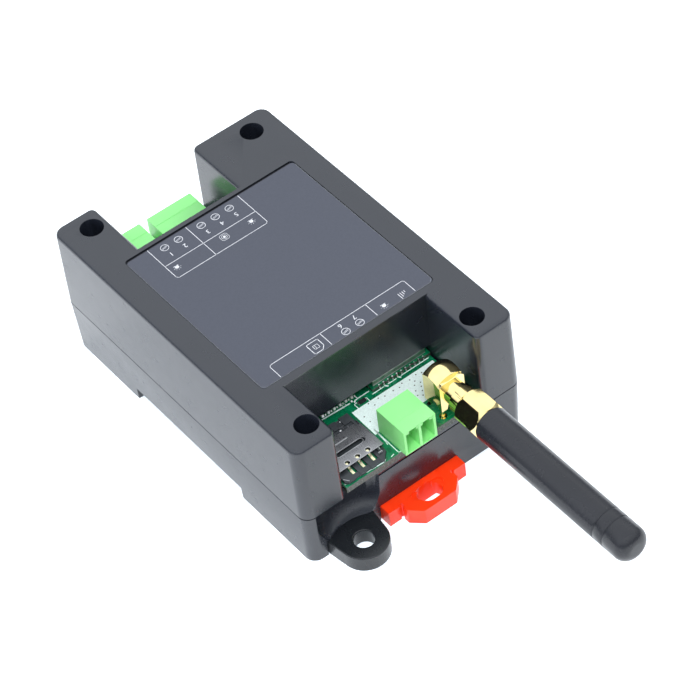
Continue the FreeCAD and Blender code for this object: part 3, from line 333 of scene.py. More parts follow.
def zinc_plate():
    # Zinc-plated steel screws: bluish grey.
    return brushed_metal("9fa4a8", 0.3, 0.45, 0.3)


def drawn_aluminium():
    # Drawn aluminium can: pale with fine streaks.
    return brushed_metal("c9cbcd", 0.25, 0.4, 0.2)


def tin_plate():
    # Tin-plated copper alloy: soft silvery grey.
    return brushed_metal("c6c6c0", 0.28, 0.42, 0.15)


def enamelled_copper():
    # Enamelled copper wire: reddish brown metal.
    return brushed_metal("b8683a", 0.25, 0.4, 0.2)


def moulded_rubber():
    # Thermoplastic rubber, moulded: dull black with a broad soft sheen.
    return moulded_plastic(settings().rubber_colour, 0.26, 0.25, 0.002, spread=0.08, index=1.46)


def black_nylon():
    # Glass-filled nylon of the SIM holder's frame: dull grey-black with a fine dry grain.
    return moulded_plastic(linear("363a3e"), 0.42, 0.2, 0.006, spread=0.2)


def moulded_epoxy_and_shadow():
    # Epoxy chip packages: matt near-black with sandy grain. It also paints the shadow in the label's far
    # gap.
    return moulded_plastic(linear("202124"), 0.55, 0.12, 0.005, spread=0.15)


def tan_ceramic():
    # Multilayer ceramic: tan, matt and slightly mottled.
    return moulded_plastic(linear("a08463"), 0.5, 0.15, 0.004, spread=0.2)


def white_ptfe():
    # Turned fluoropolymer: milky white, waxy.
    return moulded_plastic(linear("e6e7e3"), 0.4, 0.3, 0.003, spread=0.04)


def blue_pbt():
    # Polyester relay case: smooth mid blue.
    return moulded_plastic(settings().relay_colour, 0.3, 0.4, 0.003)


def clear_resin():
    # Cast epoxy of the lights: water clear to pale yellow, glossy.
    look = Finish(IOR=1.5, Roughness=0.12)
    look.tint(look.pattern(0.5), (0.3, linear("e9efc8")), (0.7, linear("f6f8e6")))
    look.translucent(0.4, 0.5, 0.5, 0.3)
    return look


def finish(make):
    """The material of a finish, made at its first use."""
    name = "look_" + make.__name__
    if name not in bpy.data.materials:
        make().material.name = name
    return bpy.data.materials[name]


def paint(make, *nodes):
    """Gives CAD nodes their finish."""
    for node in nodes:
        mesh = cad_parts[node].data
        mesh.materials.clear()
        mesh.materials.append(finish(make))


def in_mm(box):
    """Corners of a box, from metres to millimetres."""
    return [[c / MM for c in corner] for corner in box]


def axis_of(box):
    """Axis of a part turned about Y, in metres: the middle of its box in x and z."""
    low, high = box
    return Vector(((low[0] + high[0]) / 2, 0, (low[2] + high[2]) / 2))


def put(name, data):
    """New object in the scene."""
    made = bpy.data.objects.new(name, data)
    bpy.context.scene.collection.objects.link(made)
    return made


def mesh_of(name, shape, material):
    """Mesh from a bmesh, which is freed."""
    mesh = bpy.data.meshes.new(name)
    shape.to_mesh(mesh)
    shape.free()
    mesh.materials.append(material)
    return mesh


def piece(name, shape, make, body="case"):
    """New object from a bmesh, in place, riding on a body."""
    bmesh.ops.recalc_face_normals(shape, faces=shape.faces)
    made = put(name, mesh_of(name, shape, finish(make)))
    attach(made, body)
    return made


def smooth(made, degrees):
    """Smooth shading that keeps edges sharper than the angle."""
    mesh = made.data
    mesh.shade_smooth()
    mesh.set_sharp_from_angle(angle=math.radians(degrees))


def soften(name, node, make, edge=1.0, edit=None, body="case"):
    """Copy of a CAD node with rounded edges, as a share of the set width, which stands for the node."""
    shape = bmesh.new()
    shape.from_mesh(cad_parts[node].data)
    bmesh.ops.remove_doubles(shape, verts=shape.verts, dist=1e-6)
    if edit:
        edit(shape)
    bmesh.ops.dissolve_limit(
        shape, angle_limit=math.radians(0.4), verts=shape.verts, edges=shape.edges, delimit={"NORMAL"})
    made = put(name, mesh_of(name, shape, finish(make)))
    rounding = made.modifiers.new("rounded edges", "BEVEL")
    rounding.width = settings().edge_width * edge
    rounding.segments = 2
    rounding.limit_method = "ANGLE"
    rounding.angle_limit = math.radians(38)
    rounding.harden_normals = True
    smooth(made, 42)
    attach(made, body)
    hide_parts(node)


def round_edges(shape, width):
    """Rounds every edge of a fine part."""
    bmesh.ops.bevel(
        shape, geom=list(shape.edges), offset=width * MM, segments=2, profile=0.5, affect="EDGES",
        material=-1)


def block(shape, x0, x1, y0, y1, z0, z1):
    """Box between two corners."""
    size = Matrix.Diagonal(((x1 - x0) * MM, (y1 - y0) * MM, (z1 - z0) * MM, 1))
    middle = Matrix.Translation(Vector(((x0 + x1) / 2, (y0 + y1) / 2, (z0 + z1) / 2)) * MM)
    bmesh.ops.create_cube(shape, size=1, matrix=middle @ size)


def disc(shape, x, y, z0, z1, r, sides):
    """Upright cylinder."""
    middle = Matrix.Translation(Vector((x, y, (z0 + z1) / 2)) * MM)
    bmesh.ops.create_cone(
        shape, cap_ends=True, segments=sides, radius1=r * MM, radius2=r * MM, depth=(z1 - z0) * MM,
        matrix=middle)


def stroke(shape, a, b, width, z0, z1):
    """Printed line between two points."""
    run = Vector((b[0] - a[0], b[1] - a[1], 0))
    turn = Matrix.Rotation(math.atan2(run.y, run.x), 4, "Z")
    size = Matrix.Diagonal(((run.length + width) * MM, width * MM, (z1 - z0) * MM, 1))
    middle = Matrix.Translation(Vector(((a[0] + b[0]) / 2, (a[1] + b[1]) / 2, (z0 + z1) / 2)) * MM)
    bmesh.ops.create_cube(shape, size=1, matrix=middle @ turn @ size)


def path(shape, points, width, z0, z1, closed=False):
    """Printed line through several points."""
    pairs = list(zip(points, points[1:]))
    if closed:
        pairs.append((points[-1], points[0]))
    for a, b in pairs:
        stroke(shape, a, b, width, z0, z1)


def wedge(shape, x, y, w, reach, z0, z1):
    """Solder fillet: rises from the board at y to its full height at y + reach."""
    left, right, far = x - w / 2, x + w / 2, y + reach
    corners = (
        (left, y, z0), (right, y, z0), (right, far, z0), (left, far, z0), (right, far, z1), (left, far, z1))
    v = [shape.verts.new(Vector(c) * MM) for c in corners]
    for face in ((0, 1, 2, 3), (0, 1, 4, 5), (3, 2, 4, 5), (1, 2, 4), (0, 3, 5)):
        shape.faces.new([v[i] for i in face])


def ring(shape, x, y, r, width, z0, z1, sides=28):
    """Printed circle: a flat ring with a little thickness."""
    across = Vector((width * MM, 0, 0))
    up = Vector((0, 0, (z1 - z0) * MM))
    start = Vector((x + r - width / 2, y, z0)) * MM
    verts = [shape.verts.new(c) for c in (start, start + across, start + across + up, start + up)]
    face = shape.faces.new(verts)
    bmesh.ops.spin(
        shape, geom=[face] + list(face.edges) + verts, cent=Vector((x, y, 0)) * MM, axis=(0, 0, 1),
        angle=math.tau, steps=sides, use_merge=True)


def numeral(text, x, y, z, size, turn):
    """Printed number as a mesh, in place."""
    curve = bpy.data.curves.new("numeral", "FONT")
    curve.body = text
    curve.size = size * MM
    curve.align_x = "CENTER"
    curve.align_y = "CENTER"
    curve.extrude = settings().ink_height / 2
    holder = bpy.data.objects.new("numeral", curve)
    mesh = bpy.data.meshes.new_from_object(holder)
    bpy.data.objects.remove(holder)
    mesh.transform(Matrix.Translation(Vector((x, y, z)) * MM) @ Matrix.Rotation(turn, 4, "Z"))
    return mesh


class OPENER_OT_case(bpy.types.Operator):
    """Cover and base in satin ABS with moulded edges"""
    bl_idname = "opener.case"
    bl_label = "Case"

    def execute(self, context):
        soften("case_cover", "top_cover", satin_abs, 1.4)
        soften("case_base", "base_shell", satin_abs)
        return {"FINISHED"}


class OPENER_OT_ears(bpy.types.Operator):
    """Two mounting ears in gloss ABS"""
    bl_idname = "opener.ears"
    bl_label = "Mounting ears"

    def execute(self, context):
        soften("ear_front", "front_mounting_ear", gloss_abs, 1.5)
        soften("ear_rear", "rear_mounting_ear", gloss_abs, 1.5)
        return {"FINISHED"}


class OPENER_OT_clip(bpy.types.Operator):
    """Red rail clip"""
    bl_idname = "opener.clip"
    bl_label = "Rail clip"

    def execute(self, context):
        soften("rail_clip_slide", "din_clip", red_nylon, 1.25, body="rail_clip")
        return {"FINISHED"}


# Terminals of the label's two rows with their x, then the y of their rings and of their numbers.
TERMINAL_ROWS = (
    ((("1", -13.58), ("2", -9.9), ("3", -3.83), ("4", -0.05), ("5", 3.75)), 22.5, 20.0),
    ((("6", -0.05), ("7", 3.65)), -23.65, -21.6),
)


class OPENER_OT_label(bpy.types.Operator):
    """Printed film with its tables, symbols and terminal numbers, a painted highlight on its cut edge and a
    painted shadow in its far gap
    """
    bl_idname = "opener.label"
    bl_label = "Label"

    def execute(self, context):
        paint(printed_film, "label_plate")
        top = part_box("label_plate")[1][2] / MM
        z0 = top - SINK / 2
        z1 = top + settings().ink_height / MM
        shape = bmesh.new()
        numbers = bmesh.new()
        self.tables(shape, z0, z1)
        for terminals, ring_y, number_y in TERMINAL_ROWS:
            for text, x in terminals:
                self.terminal(shape, x, ring_y, z0, z1)
                numbers.from_mesh(numeral(text, x, number_y, (z0 + z1) / 2, size=1.7, turn=math.pi))
        for x, y in ((-15.0, 16.0), (4.85, 16.0), (10.3, -23.3)):
            self.lamp(shape, x, y, z0, z1)
        self.button(shape, -2.2, 16.2, z0, z1)
        self.card(shape, -7.2, -22.75, z0, z1)
        self.bars(shape, 15.2, -23.4, z0, z1)
        piece("label_symbols", shape, label_ink)
        piece("label_numbers", numbers, label_ink)
        self.cut_edge(top)
        return {"FINISHED"}

    def cut_edge(self, top):
        """Pale line painted as a highlight along the film's cut edge, and a black strip painted as the
        shadow in the gap at its far side.
        """
        low, high = in_mm(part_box("label_plate"))
        inset, corner, width = 0.03, 0.9, 0.05
        x0, y0 = low[0] + inset, low[1] + inset
        x1, y1 = high[0] - inset, high[1] - inset
        shape = bmesh.new()
        # Painted highlight: a pale line along the film's left, near and right edges.
        path(shape, [(x0, y1 - corner), (x0, y0 + corner), (x0 + corner, y0), (x1 - corner, y0),
                     (x1, y0 + corner), (x1, y1 - corner)], width, top - 0.02, top + 0.01)
        piece("label_edge_highlight", shape, film_edge_highlight)
        # Painted shadow: a black strip on the recess floor in the gap beyond the film's far edge.
        shape = bmesh.new()
        block(shape, x0 + 0.5, x1 - 0.5, y1 + 0.06, y1 + 0.58, low[2] + 0.01, low[2] + 0.05)
        piece("label_gap_shadow", shape, moulded_epoxy_and_shadow)

    def tables(self, shape, z0, z1):
        """A table at each bay: an outline with cut corners, open at the label's edge, and dividers."""
        width = settings().ink_width / MM
        left, right, head, row, edge, cut = -16.85, 7.35, 13.15, 17.8, 24.3, 0.45
        lines = [
            [(left, edge), (left, head + cut), (left + cut, head),
             (right - cut, head), (right, head + cut), (right, edge)],
            [(left, row), (right, row)],
            [(-6.65, edge), (-6.65, head)]]
        left, right, head, edge, cut = -17.7, 17.75, -20.38, -24.5, 0.42
        lines += [
            [(left, edge), (left, head - cut), (left + 0.4, head),
             (right - 0.35, head), (right, head - cut), (right, edge)],
            [(-4.43, edge), (-4.43, head)],
            [(7.6, edge), (7.6, head)]]
        for points in lines:
            path(shape, points, width, z0, z1)

    def terminal(self, shape, x, y, z0, z1):
        """Screw terminal: a circle with two slanted strokes."""
        ring(shape, x, y, 0.92, 0.12, z0, z1)
        half_x, half_y = 0.66, 0.16
        for out in (-0.13, 0.13):
            sx, sy = x - 0.24 * out, y + 0.97 * out
            stroke(shape, (sx - half_x, sy - half_y), (sx + half_x, sy + half_y), 0.08, z0, z1)

    def lamp(self, shape, x, y, z0, z1):
        """Indicator: a filled dome with rays round it."""
        disc(shape, x, y, z0, z1, 0.48, 20)
        stroke(shape, (x - 0.6, y + 0.42), (x + 0.6, y + 0.42), 0.12, z0, z1)
        inner, outer = 0.72, 0.98
        for degrees in (200, 235, 270, 305, 340):
            c, s = math.cos(math.radians(degrees)), math.sin(math.radians(degrees))
            stroke(shape, (x + inner * c, y + inner * s), (x + outer * c, y + outer * s), 0.06, z0, z1)

    def button(self, shape, x, y, z0, z1):
        """Push button: square with cut corners, circle and dot."""
        side, cut, width = 0.95, 0.6, 0.09
        path(shape, [
            (x - side, y - cut), (x - cut, y - side), (x + cut, y - side), (x + side, y - cut),
            (x + side, y + cut), (x + cut, y + side), (x - cut, y + side), (x - side, y + cut)],
            width, z0, z1, closed=True)
        ring(shape, x, y, 0.62, width, z0, z1)
        disc(shape, x, y, z0, z1, 0.32, 20)

    def card(self, shape, x, y, z0, z1):
        """Card: an outline with one cut corner and a contact field."""
        side, cut = 1.45, 0.25
        path(shape, [
            (x - side, y + 1.55), (x + side - cut, y + 1.55), (x + side, y + 1.3), (x + side, y - 0.75),
            (x + 0.6, y - 1.65), (x - side + cut, y - 1.65), (x - side, y - 1.4)],
            0.15, z0, z1, closed=True)
        path(shape, [(x - 0.6, y + 0.5), (x + 0.6, y + 0.5), (x + 0.6, y - 0.6), (x - 0.6, y - 0.6)],
             0.1, z0, z1, closed=True)
        stroke(shape, (x - 0.15, y + 0.5), (x - 0.15, y - 0.6), 0.08, z0, z1)

    def bars(self, shape, x, y, z0, z1):
        """Signal strength: four rising bars."""
        for i in range(4):
            height = 0.45 + 0.4 * i
            bar_x = x + 0.8 - i * 0.52
            stroke(shape, (bar_x, y + 0.6), (bar_x, y + 0.6 - height), 0.14, z0, z1)


# White print on the board: the filled field, and each line's width and points.
PRINT_FIELD = ((-4.45, -28.3), (17.4, -28.3), (17.4, -36.3), (-3.2, -36.3), (-4.6, -36.6))
PRINT_LINES = (
    (0.26, ((-17.5, -42.9), (-7.8, -43.64), (-7.27, -43.24))),
    (0.2, ((-4.33, -40.3), (-4.17, -39.6), (-3.82, -35.1))),
    (0.22, ((-3.98, -43.63), (-3.86, -36.0))),
    (0.22, ((-4.0, -43.63), (5.3, -43.63))),
    (0.2, ((-5.8, -43.5), (-5.1, -43.3))),
    (0.34, ((-10.2, -25.56), (-3.3, -25.92))),
    (0.26, ((-1.7, -25.98), (1.9, -25.94))),
    (0.2, ((-1.0, -25.9), (-1.1, -25.3))),
    (0.14, ((-3.9, -25.8), (-4.0, -25.3))),
    (0.14, ((-4.6, -25.75), (-4.7, -25.3))),
    (0.16, ((-1.9, -26.8), (-2.64, -26.8), (-2.64, -28.2))),
    (0.16, ((-0.3, -26.9), (0.47, -26.94), (0.47, -28.2))),
    (0.2, ((2.1, -27.15), (5.0, -27.15))),
    (0.2, ((6.3, -27.15), (8.4, -27.15))),
    (0.2, ((9.9, -27.15), (17.2, -27.15))),
    (0.32, ((5.45, -27.1), (5.85, -27.55))),
    (0.32, ((9.05, -27.0), (9.4, -27.45))),
    (0.16, ((-15.5, -29.1), (-12.1, -28.9))),
)
# Tented holes in the printed field.
VIA_SPOTS = (
    (5.85, -29.4), (3.6, -29.4), (2.2, -28.9), (0.5, -29.9), (-0.3, -28.7), (7.4, -29.6), (8.5, -29.0),
    (10.3, -29.4), (12.2, -29.1), (13.5, -29.5), (10.9, -30.4), (10.1, -31.3), (11.6, -31.5), (11.0, -32.5),
    (9.3, -32.7), (10.4, -33.6), (8.8, -34.0), (9.7, -34.7), (-3.2, -31.0), (-3.1, -32.9),
)


class OPENER_OT_board(bpy.types.Operator):
    """Circuit board with its print, pads and vias"""
    bl_idname = "opener.board"
    bl_label = "Circuit board"

    def execute(self, context):
        paint(solder_mask, "main_board")
        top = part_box("main_board")[1][2] / MM
        z0 = top - SINK
        z1 = top + 0.02
        shape = bmesh.new()
        self.patch(shape, PRINT_FIELD, z0, z1)
        for width, points in PRINT_LINES:
            path(shape, points, width, z0, z1)
        piece("board_print", shape, board_ink)
        self.vias(z1)
        self.pads(z0, z1)
        return {"FINISHED"}

    def patch(self, shape, corners, z0, z1):
        """Filled print area."""
        verts = [shape.verts.new(Vector((x, y, z0)) * MM) for x, y in corners]
        face = shape.faces.new(verts)
        raised = bmesh.ops.extrude_face_region(shape, geom=[face])["geom"]
        tops = [part for part in raised if isinstance(part, bmesh.types.BMVert)]
        bmesh.ops.translate(shape, vec=(0, 0, (z1 - z0) * MM), verts=tops)

    def vias(self, z1):
        """Small tented holes that show through the white print as dark dots."""
        shape = bmesh.new()
        for x, y in VIA_SPOTS:
            disc(shape, x, y, z1 - SINK, z1 + 0.008, 0.16, 10)
        piece("board_vias", shape, moulded_epoxy_and_shadow)

    def pads(self, z0, z1):
        """Bare pads: gold rings round the socket's legs."""
        shape = bmesh.new()
        for x, y in ((9.15, -42.1), (14.65, -37.4), (14.65, -42.1)):
            ring(shape, x, y, 0.72, 0.36, z0, z1)
        piece("socket_pads", shape, gold_plate)


class OPENER_OT_headers(bpy.types.Operator):
    """Plug-in headers and their pins"""
    bl_idname = "opener.headers"
    bl_label = "Headers"

    def execute(self, context):
        for name in ("wired_switch", "power", "relay"):
            soften(name + "_housing", name + "_header", green_polyamide, 0.35,
                   self.thin_shroud)
            soften(name + "_contacts", name + "_header_pins", tin_plate, 0.25, self.deep_pins)
            self.lugs(name)
        return {"FINISHED"}

    def lugs(self, name):
        """Coding lugs in the top corners of each cavity, and the seam across the top."""
        low, high = in_mm(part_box(name + "_header"))
        way = 1 if low[1] + high[1] < 0 else -1
        face = low[1] if way > 0 else high[1]
        near, far = sorted((face + way * 0.03, face + way * 1.5))
        ends, width, drop = 1.4, 0.55, 0.6
        # Half widths of a cavity, to an end wall and to a wall between two poles.
        to_end, to_next = 1.85, 1.4
        poles = round((high[0] - low[0] - ends) / POLE_PITCH)
        ceiling = high[2] - 0.4
        shape = bmesh.new()
        for i in range(poles):
            middle = (low[0] + high[0]) / 2 + (i - (poles - 1) / 2) * POLE_PITCH
            for side, last in ((-1, 0), (1, poles - 1)):
                wall = middle + side * (to_end if i == last else to_next)
                left, right = sorted((wall, wall - side * width))
                block(shape, left, right, near, far, ceiling - drop, ceiling + 0.02)
        round_edges(shape, 0.1)
        seam = face + way * 3.3
        long = high[0] - low[0] - 0.3
        wedge(shape, (low[0] + high[0]) / 2, seam, long, 0.12, high[2] - 0.02, high[2] + 0.05)
        piece(name + "_lugs", shape, green_polyamide)

    def deep_pins(self, shape):
        """Draws the pins' tips back into the cavities."""
        low = min(v.co.y for v in shape.verts)
        high = max(v.co.y for v in shape.verts)
        tip, way = (low, 1) if low + high < 0 else (high, -1)
        near, draw_back = 0.05, 2.2
        for vert in shape.verts:
            if abs(vert.co.y - tip) < near * MM:
                vert.co.y += way * draw_back * MM

    def thin_shroud(self, shape):
        """Thins the shroud's top, floor and ends at the cavities, and brings the lugs to its face."""
        low = [min(v.co[i] for v in shape.verts) / MM for i in range(3)]
        high = [max(v.co[i] for v in shape.verts) / MM for i in range(3)]
        face = low[1] if low[1] + high[1] < 0 else high[1]
        # The solid's walls, its lugs' lower edge below the top, and how far its lugs stand back.
        wall, lug_edge, end_wall, set_back = 0.7, 1.5, 1.05, 0.4
        raised, widened, forward, near = 0.3, 0.45, 0.3, 0.01
        for vert in shape.verts:
            x, y, z = vert.co / MM
            if abs(z - high[2] + wall) < near or abs(z - high[2] + lug_edge) < near:
                vert.co.z += raised * MM
            if abs(z - low[2] - wall) < near:
                vert.co.z -= widened * MM
            if abs(x - low[0] - end_wall) < near:
                vert.co.x -= widened * MM
            if abs(x - high[0] + end_wall) < near:
                vert.co.x += widened * MM
            if abs(abs(y - face) - set_back) < near:
                vert.co.y += math.copysign(forward, face) * MM


class OPENER_OT_sim_holder(bpy.types.Operator):
    """SIM holder: frame, contacts and door, with painted highlights on the door's rib and lips"""
    bl_idname = "opener.sim_holder"
    bl_label = "SIM holder"

    def execute(self, context):
        soften("sim_frame", "sim_base", black_nylon, 0.3, self.low_front)
        soften("sim_fingers", "sim_contacts", pale_gold, 0.1, self.slim_fingers)
        soften("sim_door_sheet", "sim_door", rolled_steel, 0.25, body="sim_door")
        low, high = in_mm(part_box("sim_base"))
        middle = (low[0] + high[0]) / 2
        front = low[1] - high[1]
        # Details of the frame are drawn from the middle of its rear edge, at board level.
        rear = (middle, high[1], low[2])
        self.detail("sim_frame_bars", self.bars(front), rear, black_nylon, "sim_plastic")
        self.detail("sim_frame_latch", self.latch(front), rear, bright_steel_and_highlights)
        self.detail("sim_rear_frame", self.strips(), rear, rolled_steel)
        # Those of the door are drawn at their own y, from its middle and its top.
        face = (middle, 0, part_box("sim_door")[1][2] / MM)
        # The door's rib and lips are in brighter steel than the door itself: painted highlights.
        self.detail("sim_door_rib_highlight", self.rib(), face, bright_steel_and_highlights, body="sim_door")
        self.detail("sim_door_lip_highlights", self.lip_highlights(), face, bright_steel_and_highlights, body="sim_door")
        return {"FINISHED"}

    def detail(self, name, shape, origin, make, slot="sim_steel", body="case"):
        """Moves a detail to its origin and makes it a piece."""
        bmesh.ops.translate(shape, vec=Vector(origin) * MM, verts=shape.verts)
        piece(name, shape, make, body)

    def bars(self, front):
        """Moulded parts of the frame. The ribs end clear of the opened door."""
        shape = bmesh.new()
        # Front sill
        block(shape, -5.2, 4.0, front + 0.12, front + 1.25, 0.16, 0.6)
        # Rear floor, with the bridge at its end and five ribs
        block(shape, -5.3, 5.3, -4.4, -0.2, 0.9, 1.1)
        block(shape, -2.2, 2.4, -1.5, -0.1, 1.0, 1.42)
        for x in (-4.4, -3.1, -1.2, 1.1, 2.9):
            block(shape, x, x + 0.5, -3.9, -2.9, 1.0, 1.3)
        # Stop beside the card
        block(shape, 4.35, 4.75, front + 1.9, front + 3.5, 0.8, 1.4)
        return shape

    def latch(self, front):
        """Bright cut edges of the frame's steel. The side strip leaves room for the opened door."""
        shape = bmesh.new()
        spots = (
            (-4.6, -4.2), (-3.9, -1.8), (-2.4, -4.5), (-1.7, -1.2), (0.2, -4.4), (1.9, -3.0), (3.4, -1.0))
        for x, y in spots:
            wedge(shape, x, y, 0.4, 0.25, 1.05, 1.25)
        for near, far in ((-4.0, -2.9), (-2.1, -0.9)):
            block(shape, 3.6, 3.75, near, far, 1.05, 1.4)
        block(shape, 3.9, 4.9, front + 1.6, front + 1.75, 0.9, 1.42)
        wedge(shape, 4.9, front + 2.4, 0.3, 0.5, 0.7, 1.2)
        stroke(shape, (-5.7, front + 1.5), (-4.9, front + 0.25), 0.1, 0.6, 0.72)
        return shape

    def strips(self):
        """Thin strips of steel let into the rear floor."""
        shape = bmesh.new()
        for y in (-4.3, -2.1, -0.3):
            stroke(shape, (-5.0, y), (3.2, y), 0.22, 1.08, 1.16)
        for x in (-5.0, -2.6, 0.4, 2.7):
            stroke(shape, (x, -4.3), (x, -2.1), 0.16, 1.08, 1.14)
        return shape

    def rib(self):
        """Pressed rib of the door, in brighter steel: a painted highlight along its ridge."""
        shape = bmesh.new()
        y = -34.3
        stroke(shape, (-3.7, y), (1.4, y), 0.3, -0.02, 0.09)
        round_edges(shape, 0.04)
        return shape

    def lip_highlights(self):
        """Lips of the door's windows, slot and front edge, in brighter steel: painted highlights."""
        shape = bmesh.new()
        windows, slot, edge = -39.85, -36.9, -40.74
        for i in (-1, 0, 1):
            ring(shape, i * FINGER_PITCH, windows, 0.66, 0.14, -0.02, 0.05, 20)
        path(shape, [(x, slot + y) for x, y in (
            (-3.0, -0.72), (3.0, -0.72), (3.5, -0.4), (3.7, 0), (3.5, 0.4), (3.0, 0.72),
            (-3.0, 0.72), (-3.5, 0.4), (-3.7, 0), (-3.5, -0.4))], 0.12, -0.02, 0.05, closed=True)
        stroke(shape, (-5.8, edge), (5.8, edge), 0.1, -0.1, 0.01)
        return shape

    def slim_fingers(self, shape):
        """Narrows the sprung fingers about their middles."""
        low, high = in_mm(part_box("sim_contacts"))
        middle = (low[0] + high[0]) / 2
        narrower = 0.62
        for vert in shape.verts:
            finger = middle + FINGER_PITCH * round((vert.co.x / MM - middle) / FINGER_PITCH)
            vert.co.x = (finger + (vert.co.x / MM - finger) * narrower) * MM

    def low_front(self, shape):
        """Lowers the frame's front part, which the door leaves open."""
        open_until, card_level, drop = -38.3, 17.8, 0.75
        for vert in shape.verts:
            if vert.co.y < open_until * MM and vert.co.z > card_level * MM:
                vert.co.z -= drop * MM


class OPENER_OT_aerial_socket(bpy.types.Operator):
    """Gold aerial socket with its thread, insulator and contact"""
    bl_idname = "opener.aerial_socket"
    bl_label = "Aerial socket"

    def execute(self, context):
        soften("socket_shell", "sma_body", gold_plate, 0.4, self.slim_barrel)
        paint(white_ptfe, "sma_insulator")
        paint(gold_plate, "sma_centre_socket")
        self.thread()
        return {"FINISHED"}

    def slim_barrel(self, shape):
        """Barrel: a smooth ring behind the nut, and the thread's root from the nut on."""
        axis = axis_of(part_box("antenna_nut"))
        step_y, ring_front, thread_depth = -44.7, -45.3, 0.33
        # Radii between bore, ring and thread
        inside_r, thread_r = 2.7, 3.0
        bmesh.ops.bisect_plane(
            shape, geom=list(shape.verts) + list(shape.edges) + list(shape.faces),
            plane_co=(0, THREAD_START * MM, 0), plane_no=(0, 1, 0))
        for vert in shape.verts:
            off = Vector((vert.co.x - axis.x, 0, vert.co.z - axis.z))
            if abs(vert.co.y - step_y * MM) < 0.05 * MM and off.length > inside_r * MM:
                vert.co.y = ring_front * MM
            if vert.co.y < (THREAD_START - 0.01) * MM and off.length > thread_r * MM:
                off.length -= thread_depth * MM
                vert.co.x = axis.x + off.x
                vert.co.z = axis.z + off.z
            # The rear left leg stands further in.
            if vert.co.x < 9.7 * MM and vert.co.y > -38.2 * MM and vert.co.z < 18.0 * MM:
                vert.co.x += 0.9 * MM

    def thread(self):
        """Thread ridges as one spiral of small triangular section."""
        shape = bmesh.new()
        axis = axis_of(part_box("antenna_nut"))
        start = THREAD_START - 0.35
        # The 1/4-36 thread of such sockets
        pitch, turns, steps = 25.4 / 36, 5, 32
        root, crest = 2.82, 3.17
        profile = [(root, 0.29), (crest, 0.06), (crest, -0.06), (root, -0.29)]
        verts = [shape.verts.new(axis + Vector((r, start - dy, 0)) * MM) for r, dy in profile]
        edges = [shape.edges.new((a, b)) for a, b in zip(verts, verts[1:])]
        bmesh.ops.spin(
            shape, geom=verts + edges, cent=axis, axis=(0, -1, 0), dvec=(0, -pitch * MM / steps, 0),
            angle=math.tau * turns, steps=steps * turns)
        smooth(piece("socket_thread", shape, gold_plate), 30)


class OPENER_OT_antenna(bpy.types.Operator):
    """Stub antenna: nut, ferrule, sleeve and its inner parts"""
    bl_idname = "opener.antenna"
    bl_label = "Antenna"

    def execute(self, context):
        self.nut()
        paint(gold_plate, "antenna_ferrule", "antenna_pin")
        paint(white_ptfe, "antenna_insulator")
        paint(enamelled_copper, "antenna_element")
        soften("antenna_rubber", "antenna_sleeve", moulded_rubber, 0.6, body="antenna")
        return {"FINISHED"}

    def nut(self):
        """Hexagon nut turned from bar: each end has a cone that cuts the corners in arcs."""
        low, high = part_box("antenna_nut")
        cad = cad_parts["antenna_nut"].data
        centre = axis_of((low, high))
        far = max(cad.vertices, key=lambda v: (Vector((v.co.x, 0, v.co.z)) - centre).length).co
        corner = math.atan2(far.z - centre.z, far.x - centre.x)
        # Radii to the flats and corners, and of the flat end faces
        flat, corner_r, face_r = 4.0, 4.6, 3.88
        front, rear = low[1] / MM, high[1] / MM - 0.35
        # End wall, its hole, the bore and the chamfer at the bore's mouth
        wall, neck, bore, mouth, mouth_depth = 1.3, 2.4, 3.225, 3.475, 0.3
        sides, sixth = 144, math.tau / 6
        slope = 1.35
        shape = bmesh.new()
        rings = []
        for i in range(sides):
            angle = i * math.tau / sides
            # From the middle of the nearest flat, half a sixth away from each corner
            off_flat = (angle % sixth) - sixth / 2
            side = min(flat / math.cos(off_flat), corner_r)
            cone = 0.05 + (side - flat) * slope
            turn = corner + angle
            profile = [
                (bore, rear - mouth_depth), (mouth, rear), (face_r, rear), (side, rear - cone),
                (side, front + cone), (face_r, front), (neck, front), (neck, front + wall),
                (bore, front + wall)]
            rings.append([
                shape.verts.new(centre + Vector((r * math.cos(turn), y, r * math.sin(turn))) * MM)
                for r, y in profile])
        for i in range(sides):
            here, there = rings[i], rings[(i + 1) % sides]
            for j in range(len(here)):
                k = (j + 1) % len(here)
                shape.faces.new((here[j], here[k], there[k], there[j]))
        made = piece("antenna_hex_nut", shape, gold_plate, "antenna_nut")
        smooth(made, 20)
        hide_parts("antenna_nut")


class OPENER_OT_module(bpy.types.Operator):
    """Radio module with its castellated pads and shield, and a painted highlight along the shield's lower
    front edge
    """
    bl_idname = "opener.module"
    bl_label = "Radio module"

    def execute(self, context):
        paint(solder_mask, "gsm_module_board")
        paint(tinned_steel, "gsm_module_shield")
        (x0, y0, z0), (x1, y1, z1) = in_mm(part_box("gsm_module_board"))
        shape = bmesh.new()
        bare_ends = 1.5
        count = int((x1 - x0 - bare_ends) / PAD_PITCH)
        first = (x0 + x1) / 2 - (count - 1) * PAD_PITCH / 2
        for i in range(count):
            x = first + i * PAD_PITCH
            # Solder at the front edge, the pad's top above it, and a plain pad at the rear edge
            wedge(shape, x, y0 - 0.22, 0.3, 0.3, z0 - SINK, z0 + 0.45)
            wedge(shape, x, y0 + 0.05, 0.26, 0.25, z1 - 0.02, z1 + 0.12)
            block(shape, x - 0.2, x + 0.2, y1 - 0.5, y1 + 0.25, z0 - SINK, z1 + 0.02)
        # Bright steel strip along the shield's lower front edge: a painted highlight.
        low, high = in_mm(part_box("gsm_module_shield"))
        block(shape, low[0], high[0], low[1] - 0.1, low[1] + 0.02, z1, z1 + 0.12)
        piece("module_pads_and_edge_highlight", shape, bright_steel_and_highlights)
        return {"FINISHED"}


